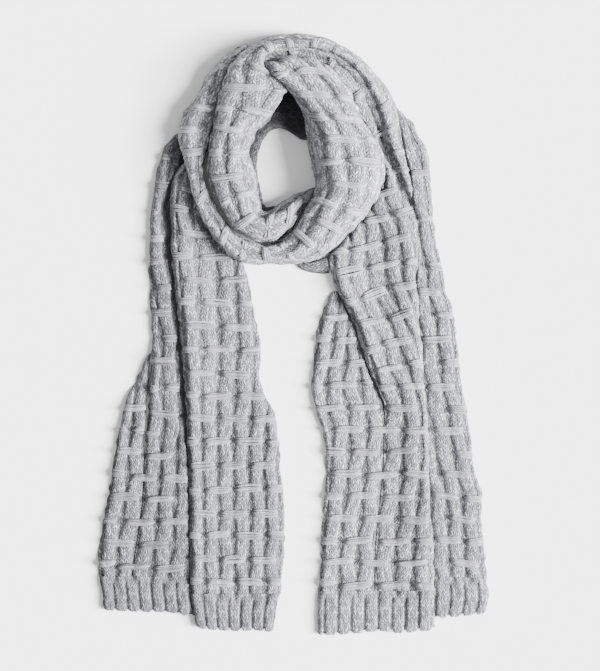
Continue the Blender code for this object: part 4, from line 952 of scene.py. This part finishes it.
def knit_piece(strip):
    """One stretch of the knit as a closed wall, and its surface for the strands."""
    surface = knit_surface(strip)
    section, width, row, rib = surface.section, surface.width, surface.row, surface.rib
    depth, wale, valley = relief(rib, row, strip.bars)
    if strip.body:
        depth, valley = blend_into_hem(strip, surface, depth, valley)
    wobble = value_noise(rib * 2.2, row * 2.8, 3) * WOBBLE
    outer = surface.points - surface.normal * ((depth + wobble) * surface.fade)[..., None]
    inset = np.minimum(WALL, INSET_SHARE * width) / width
    share = inset + (1 - 2 * inset) * np.linspace(0, 1, PLAIN_COLUMNS)[None, :]
    inner = place(section, share, plain_profile(strip, section, share, surface.from_end), surface.bow)
    if strip.body:
        pull, pull_plain = hem_edge(surface, valley)
        outer[..., :2] -= pull
        inner[..., :2] -= pull_plain
    free_a = (1 - smoothstep(surface.from_a, 0, FREE_EDGE)) * (1 - surface.join_a)
    free_b = (1 - smoothstep(surface.from_b, 0, FREE_EDGE)) * (1 - surface.join_b)
    knobs = value_noise(surface.from_a / KNOB_WIDTH, row * ROW_PITCH / KNOB_ROWS, 5)
    knobs = knobs * np.maximum(free_a, free_b)
    outer = outer + surface.normal * (EDGE_KNOBS * knobs)[..., None] * np.array([1.0, 1.0, 0.0])
    outer[..., 2] = np.maximum(outer[..., 2], 0.0)
    # Painted shade for the shade attribute: darker in the deep middle of each valley, on cloth low by the
    # table, and over the whole stretch by its last setting.
    low = 1 - smoothstep(surface.points[..., 2], *LOW_CLOTH)
    shade = (VALLEY_SHADE if strip.bars else HEM_SHADE) * valley**4 * surface.fade + LOW_SHADE * low
    shade = shade + strip.tone
    uv = np.stack([wale, row * ROW_PITCH / COURSE_PITCH], axis=-1)
    for edge in (0, 1):
        if strip.ledges[edge]:
            outer, uv, shade, inner = add_ledge(strip, surface, edge, outer, uv, shade, inner)
    count = outer.shape[1]
    ring = np.concatenate([outer, inner[:, ::-1]], axis=1)
    uv = np.concatenate([uv, plain_uv(surface, share)[:, ::-1]], axis=1)
    shade = np.concatenate([shade, np.zeros_like(share)], axis=1)
    stations, around = ring.shape[:2]
    walls = (np.arange(stations - 1)[:, None] * around + np.array([[count - 1, around - 1]])).ravel()
    ends = [(stations - 1) * around, (stations - 1) * around + 1]
    piece = add_mesh(strip.name + "_knit", ring, ring_faces(stations, around), knit_wool, uv, shade,
                     [*walls.tolist(), *ends])
    triangles = outward(piece)
    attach(piece, "root")
    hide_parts(strip.name)
    return piece, surface, triangles


pieces = {}
for strip in STRIPS:
    piece, surface, triangles = knit_piece(strip)
    pieces[strip.name] = (piece, surface)
    print(strip.name, "triangles:", triangles)

# %% [markdown]
# ## The bars of loose strands
#
# A slipped yarn lies loose over two ribs: it comes out of one open valley, runs level over both crests,
# sags a little over the shut line between them, and goes down into the next open valley. Four such strands
# lie side by side, the outer two a little lower.
#
# A bar's place is a rib number and a row number, so each strand is found on the grid by looking those up,
# and it follows the cloth wherever that goes. On a join only the strip that OWNERS names carries the bars.

# %% Where the bars lie
def sample(grid, i, j, f, g):
    """The grid's value at station i + f and column j + g, blended between its four neighbours."""
    flat = grid if grid.ndim == 3 else grid[..., None]
    f, g = f[:, None], g[:, None]
    near = flat[i, j] * (1 - g) + flat[i, j + 1] * g
    far = flat[i + 1, j] * (1 - g) + flat[i + 1, j + 1] * g
    return near * (1 - f) + far * f


def locate(surface, u, v, beyond_a, beyond_b):
    """Station and column where the surface has rib number u and row number v, found by four corrections.
    Beyond an edge the column goes on in even steps if that edge's flag is set, and stops there if not."""
    rib, row = surface.rib, surface.row
    lines = row[:, row.shape[1] // 2]
    count = len(lines)
    station = np.interp(v, lines, np.arange(count))
    for _ in range(4):
        i = np.clip(np.floor(station).astype(int), 0, count - 2)
        f = station - i
        near = rib[i] * (1 - f)[:, None] + rib[i + 1] * f[:, None]
        column = np.array([np.interp(a, b, np.arange(len(b))) for a, b in zip(u, near)])
        over_b = np.maximum(u - near[:, -1], 0) / (near[:, -1] - near[:, -2])
        over_a = np.maximum(near[:, 0] - u, 0) / (near[:, 1] - near[:, 0])
        inside = (over_a <= 0) & (over_b <= 0)
        column = column + over_b * beyond_b - over_a * beyond_a
        j = np.clip(np.floor(column).astype(int), 0, rib.shape[1] - 2)
        found = sample(row, i, j, f, np.clip(column - j, 0, 1))[:, 0]
        station = np.clip(station + (v - found) / np.gradient(lines)[i], 0, count - 1.001)
    i = np.clip(np.floor(station).astype(int), 0, count - 2)
    return i, j, station - i, column - j, inside


def bar_places(strip, surface):
    """The rib line and the row of each bar, and whether it lies where edge a or b is joined."""
    rib, row = surface.rib, surface.row
    first, last = int(np.ceil(row.min())), int(np.floor(row.max()))
    bars = np.array([(line, r) for r in range(first, last + 1)
                     for line in range(int(rib.min()) - 2, int(rib.max()) + 2) if (line + r) % 2 == 0], float)
    lines = row[:, row.shape[1] // 2]
    i = np.clip(np.interp(bars[:, 1], lines, np.arange(len(lines))).astype(int), 0, len(lines) - 1)
    owner = OWNERS.get(strip.name)
    join_a, join_b = surface.join_a[i, 0] > 0.5, surface.join_b[i, 0] > 0.5
    low = rib[i, 0] + np.where(join_a, -0.1 if owner == "a" else 0.4, -0.35)
    high = rib[i, -1] + np.where(join_b, 0.1 if owner == "b" else -0.4, 0.35)
    keep = (bars[:, 0] > low) & (bars[:, 0] < high)
    keep &= (bars[:, 1] > lines[0] + 0.15) & (bars[:, 1] < lines[-1] - 0.12)
    return bars[keep], join_a[keep], join_b[keep]


for strip in STRIPS:
    if strip.bars:
        print(strip.name, "bars:", len(bar_places(strip, pieces[strip.name][1])[0]))

# %% [markdown]
# ## The strands as tubes
#
# A strand is a round tube along a line that rides on the cloth's smooth surface: level over the crests, and
# down into the valleys at its ends. Curves with a bevel would give the same tubes, but arrays make all of a
# strip's strands at once. Hand knitting is never even, so each bar sways a little and each strand has its
# own lift, thickness and grey, from seeded random numbers. Near a free edge a strand sinks into the cloth,
# as the real ones do where they turn round it.

# %% Strands
BAR_REACH = 0.89  # half a bar's length, in ribs
STRANDS = 4
STRAND_GAP, STRAND_RADIUS = 1.95, 1.25
STRAND_LIFT, STRAND_SAG, STRAND_DIVE = 1.6, 1.0, 5.8
STRAND_LOWER = (-1.0, 0.0, 0.0, -1.0)
BURIED = -2.4
FAR = 99.0  # counts a joined edge as no edge
ALONG, AROUND = 15, 6


def tubes_round(centre, normal, radius, turn):
    """Circles round each line, by the cosine of the turn along the cloth and by its sine up from it."""
    step = unit(np.gradient(centre, axis=2))
    side = unit(np.cross(normal, step))
    up = np.cross(step, side)
    ring = centre[..., None, :] + radius[..., None, None] * (
        side[..., None, :] * np.cos(turn)[:, None] * 1.05 + up[..., None, :] * np.sin(turn)[:, None] * 0.85)
    ring[..., 2] = np.maximum(ring[..., 2], 0.1)
    return ring.reshape(-1, *ring.shape[2:])


def tube_faces(tubes):
    """Quads along each tube, and a cap at each of its ends."""
    index = np.arange(tubes[..., 0].size).reshape(tubes.shape[:3])
    following = np.roll(index, -1, axis=2)
    quads = np.stack([index[:, :-1], index[:, 1:], following[:, 1:], following[:, :-1]], axis=-1)
    caps = np.concatenate([index[:, 0][:, ::-1], index[:, -1]])
    return quads.reshape(-1, 4).tolist() + caps.tolist()


def strand_bars(strip, surface):
    """Every strand of every bar as one mesh. t runs from -1 to 1 along a strand, and u and v are the rib and
    row numbers on it."""
    bars, join_a, join_b = bar_places(strip, surface)
    owner = OWNERS.get(strip.name)
    count = len(bars)
    random = np.random.default_rng(len(strip.table))
    t = np.linspace(-1, 1, ALONG)
    reach = BAR_REACH + random.uniform(-0.05, 0.05, (count, 1, 1))
    u = bars[:, 0][:, None, None] + reach * t + random.uniform(-0.06, 0.06, (count, STRANDS, 1))
    gap = STRAND_GAP * (1 - 0.5 * np.abs(t) ** 3) * random.uniform(0.85, 1.1, (count, 1, 1))
    sway = random.uniform(-1.9, 1.9, (count, 1, 1)) * t
    sway = sway + random.uniform(-0.7, 0.7, (count, STRANDS, 1)) * (1 - t**2)
    sway = sway + random.uniform(-1.2, 1.2, (count, 1, 1))
    sway = sway + random.uniform(-1.0, 1.0, (count, 1, 1)) * (1 - t**2)
    order = (np.arange(STRANDS) - (STRANDS - 1) / 2)[None, :, None]
    v = bars[:, 1][:, None, None] + (order * gap + sway) / ROW_PITCH
    beyond = [np.repeat((flag & (owner == edge)).astype(float), STRANDS * ALONG)
              for flag, edge in ((join_a, "a"), (join_b, "b"))]
    i, j, f, g, inside = locate(surface, u.ravel(), v.ravel(), *beyond)
    shape = (count, STRANDS, ALONG)
    centre = sample(surface.points, i, j, f, g).reshape(*shape, 3)
    normal = sample(surface.normal, i, j, f, np.clip(g, 0, 1)).reshape(*shape, 3)
    near = np.minimum(surface.from_a + FAR * surface.join_a, surface.from_b + FAR * surface.join_b)
    near = smoothstep(sample(near, i, j, f, np.clip(g, 0, 1)).reshape(shape), 0, 6)
    near = near * smoothstep(normal[..., 2], 0.25, 0.8)
    lift = STRAND_LIFT + np.array(STRAND_LOWER)[None, :, None] - STRAND_SAG * np.exp(-((t / 0.18) ** 2))
    lift = lift - STRAND_DIVE * smoothstep(np.abs(t), 0.72, 1.0)
    lift = lift + random.uniform(-0.3, 0.3, (count, STRANDS, 1))
    lift = lift * near + BURIED * (1 - near)
    shown = (inside | (beyond[0] + beyond[1] > 0)).reshape(shape)
    radius = STRAND_RADIUS * (1 - 0.6 * np.abs(t) ** 12) * random.uniform(0.88, 1.12, shape)
    radius = radius * (0.6 + 0.4 * near) * np.where(shown, 1.0, 0.05)
    turn = np.linspace(0, 2 * np.pi, AROUND, endpoint=False)
    tubes = tubes_round(centre + normal * lift[..., None], normal, radius, turn)
    along_uv = (np.arange(ALONG) * 0.55)[None, :, None] + np.arange(len(tubes))[:, None, None] * 7.3
    around_uv = turn[None, None, :] / 6.3 * np.ones_like(along_uv)
    uv = np.stack([around_uv, along_uv * np.ones(AROUND)], axis=-1)
    # Each strand's own grey is a random number, and on top comes the stretch's painted shade, which is
    # painted light below 0.
    tone = strip.tone + random.uniform(-0.45, 0.6, (len(tubes), 1, 1)) * np.ones(tubes.shape[:3])
    piece = add_mesh(strip.name + "_strands", tubes, tube_faces(tubes), float_wool, uv, tone)
    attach(piece, "root")
    return piece


for strip in STRIPS:
    piece, surface = pieces[strip.name]
    extra = [strand_bars(strip, surface)] if strip.bars else []

# %% [markdown]
# ## Inside the winding
#
# The layers that the winding hides show only as soft dark edges round the hole. They are one low band that
# follows the winding, in the inside wool, with painted shade that grows darker away from the hole. A row of
# its table gives a point on its outer side, a point on the side of the hole, and its height.

# %% Hidden layers
HIDDEN_LAYERS = [
    (-12, 124, -10, 147, 9),
    (-22, 118, -21, 141, 10),
    (-36, 116, -30, 139, 11.2),
    (-46, 120, -34, 142),
    (-56, 126, -35.5, 147),
    (-63, 136, -36.5, 152),
    (-70, 147, -38, 159),
    (-77, 160, -40, 168),
    (-82, 175, -42, 179),
    (-84, 190, -42, 190),
    (-82, 206, -40, 201),
    (-79, 221, -36, 212),
    (-75, 238, -30, 221),
    (-71, 254, -21, 226.5),
    (-66, 270, -10, 225, 10.3),
    (-58, 285, 0, 219, 8.8),
    (-46, 299, 9, 214, 7.4),
    (-28, 311, 19, 216),
    (-8, 317, 28, 221),
    (12, 318, 36, 226),
    (31, 312, 44, 230),
    (49, 302, 51, 234),
    (66, 288, 58, 238),
    (77, 270, 63, 243),
]


def hidden_layers(stations=420, across=60):
    """A low band with a flat underside. Towards the hole its edge is two soft lobes, with ribs along it."""
    at = np.arange(len(HIDDEN_LAYERS))
    where = np.linspace(0, at[-1], stations)
    outside, hole, top = np.split(smooth_rows(filled(HIDDEN_LAYERS, 5), at, where), [2, 4], axis=1)
    span = np.linalg.norm(hole - outside, axis=1)[:, None]
    inwards = (hole - outside) / span
    lobe = np.linspace(0, 1, 14)[None, :]
    out = -1.0 + 1.7 * np.abs(np.sin(2 * np.pi * lobe * 0.98)) ** 0.7 - 3.0 * smoothstep(lobe, 0.85, 1.0)
    out = out + 0.5 * np.sin(where[:, None] * 5.0) * np.sin(np.pi * lobe)
    edge = hole[:, None] + inwards[:, None] * out[..., None]
    level = np.linspace(0, 1, across)[None, 1:]
    reach = -4.0 - (span - 7.0) * level
    upper = hole[:, None] + inwards[:, None] * reach[..., None]
    ribs = 1.4 * (1 - np.abs(np.sin(np.pi * reach / RIB_PITCH))) * smoothstep(level, 0.0, 0.1)
    under = np.stack([outside, outside + inwards, hole + inwards * -1.0], axis=1)
    under_height = np.concatenate([top * 0.7, top * 0, top * 0], axis=1)
    xy = np.concatenate([edge, upper, under], axis=1)
    z = np.concatenate([top * lobe, top - ribs, under_height], axis=1)
    points = np.concatenate([xy + np.array(MOVE), z[..., None]], axis=-1)
    run = np.concatenate([out, reach, -span, -span + 1, -span * 0], axis=1)
    uv = np.stack([run / WALE_PITCH, where[:, None] * 4.0 * np.ones_like(run)], axis=-1)
    # Painted shade: weak at the lobed edge by the hole, growing further in under the winding, and full on the
    # underside.
    shade = [0 * out + 0.3, 0.3 + 1.4 * smoothstep(-reach, 2, 12), np.ones_like(under_height)]
    shade = np.concatenate(shade, axis=1)
    piece = add_mesh("hidden_layers_knit", points, ring_faces(*points.shape[:2]), inner_wool_in_painted_shade, uv, shade)
    print("hidden layers, triangles:", outward(piece))
    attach(piece, "root")
    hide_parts("hidden_layers")
    return piece


hidden_layers()
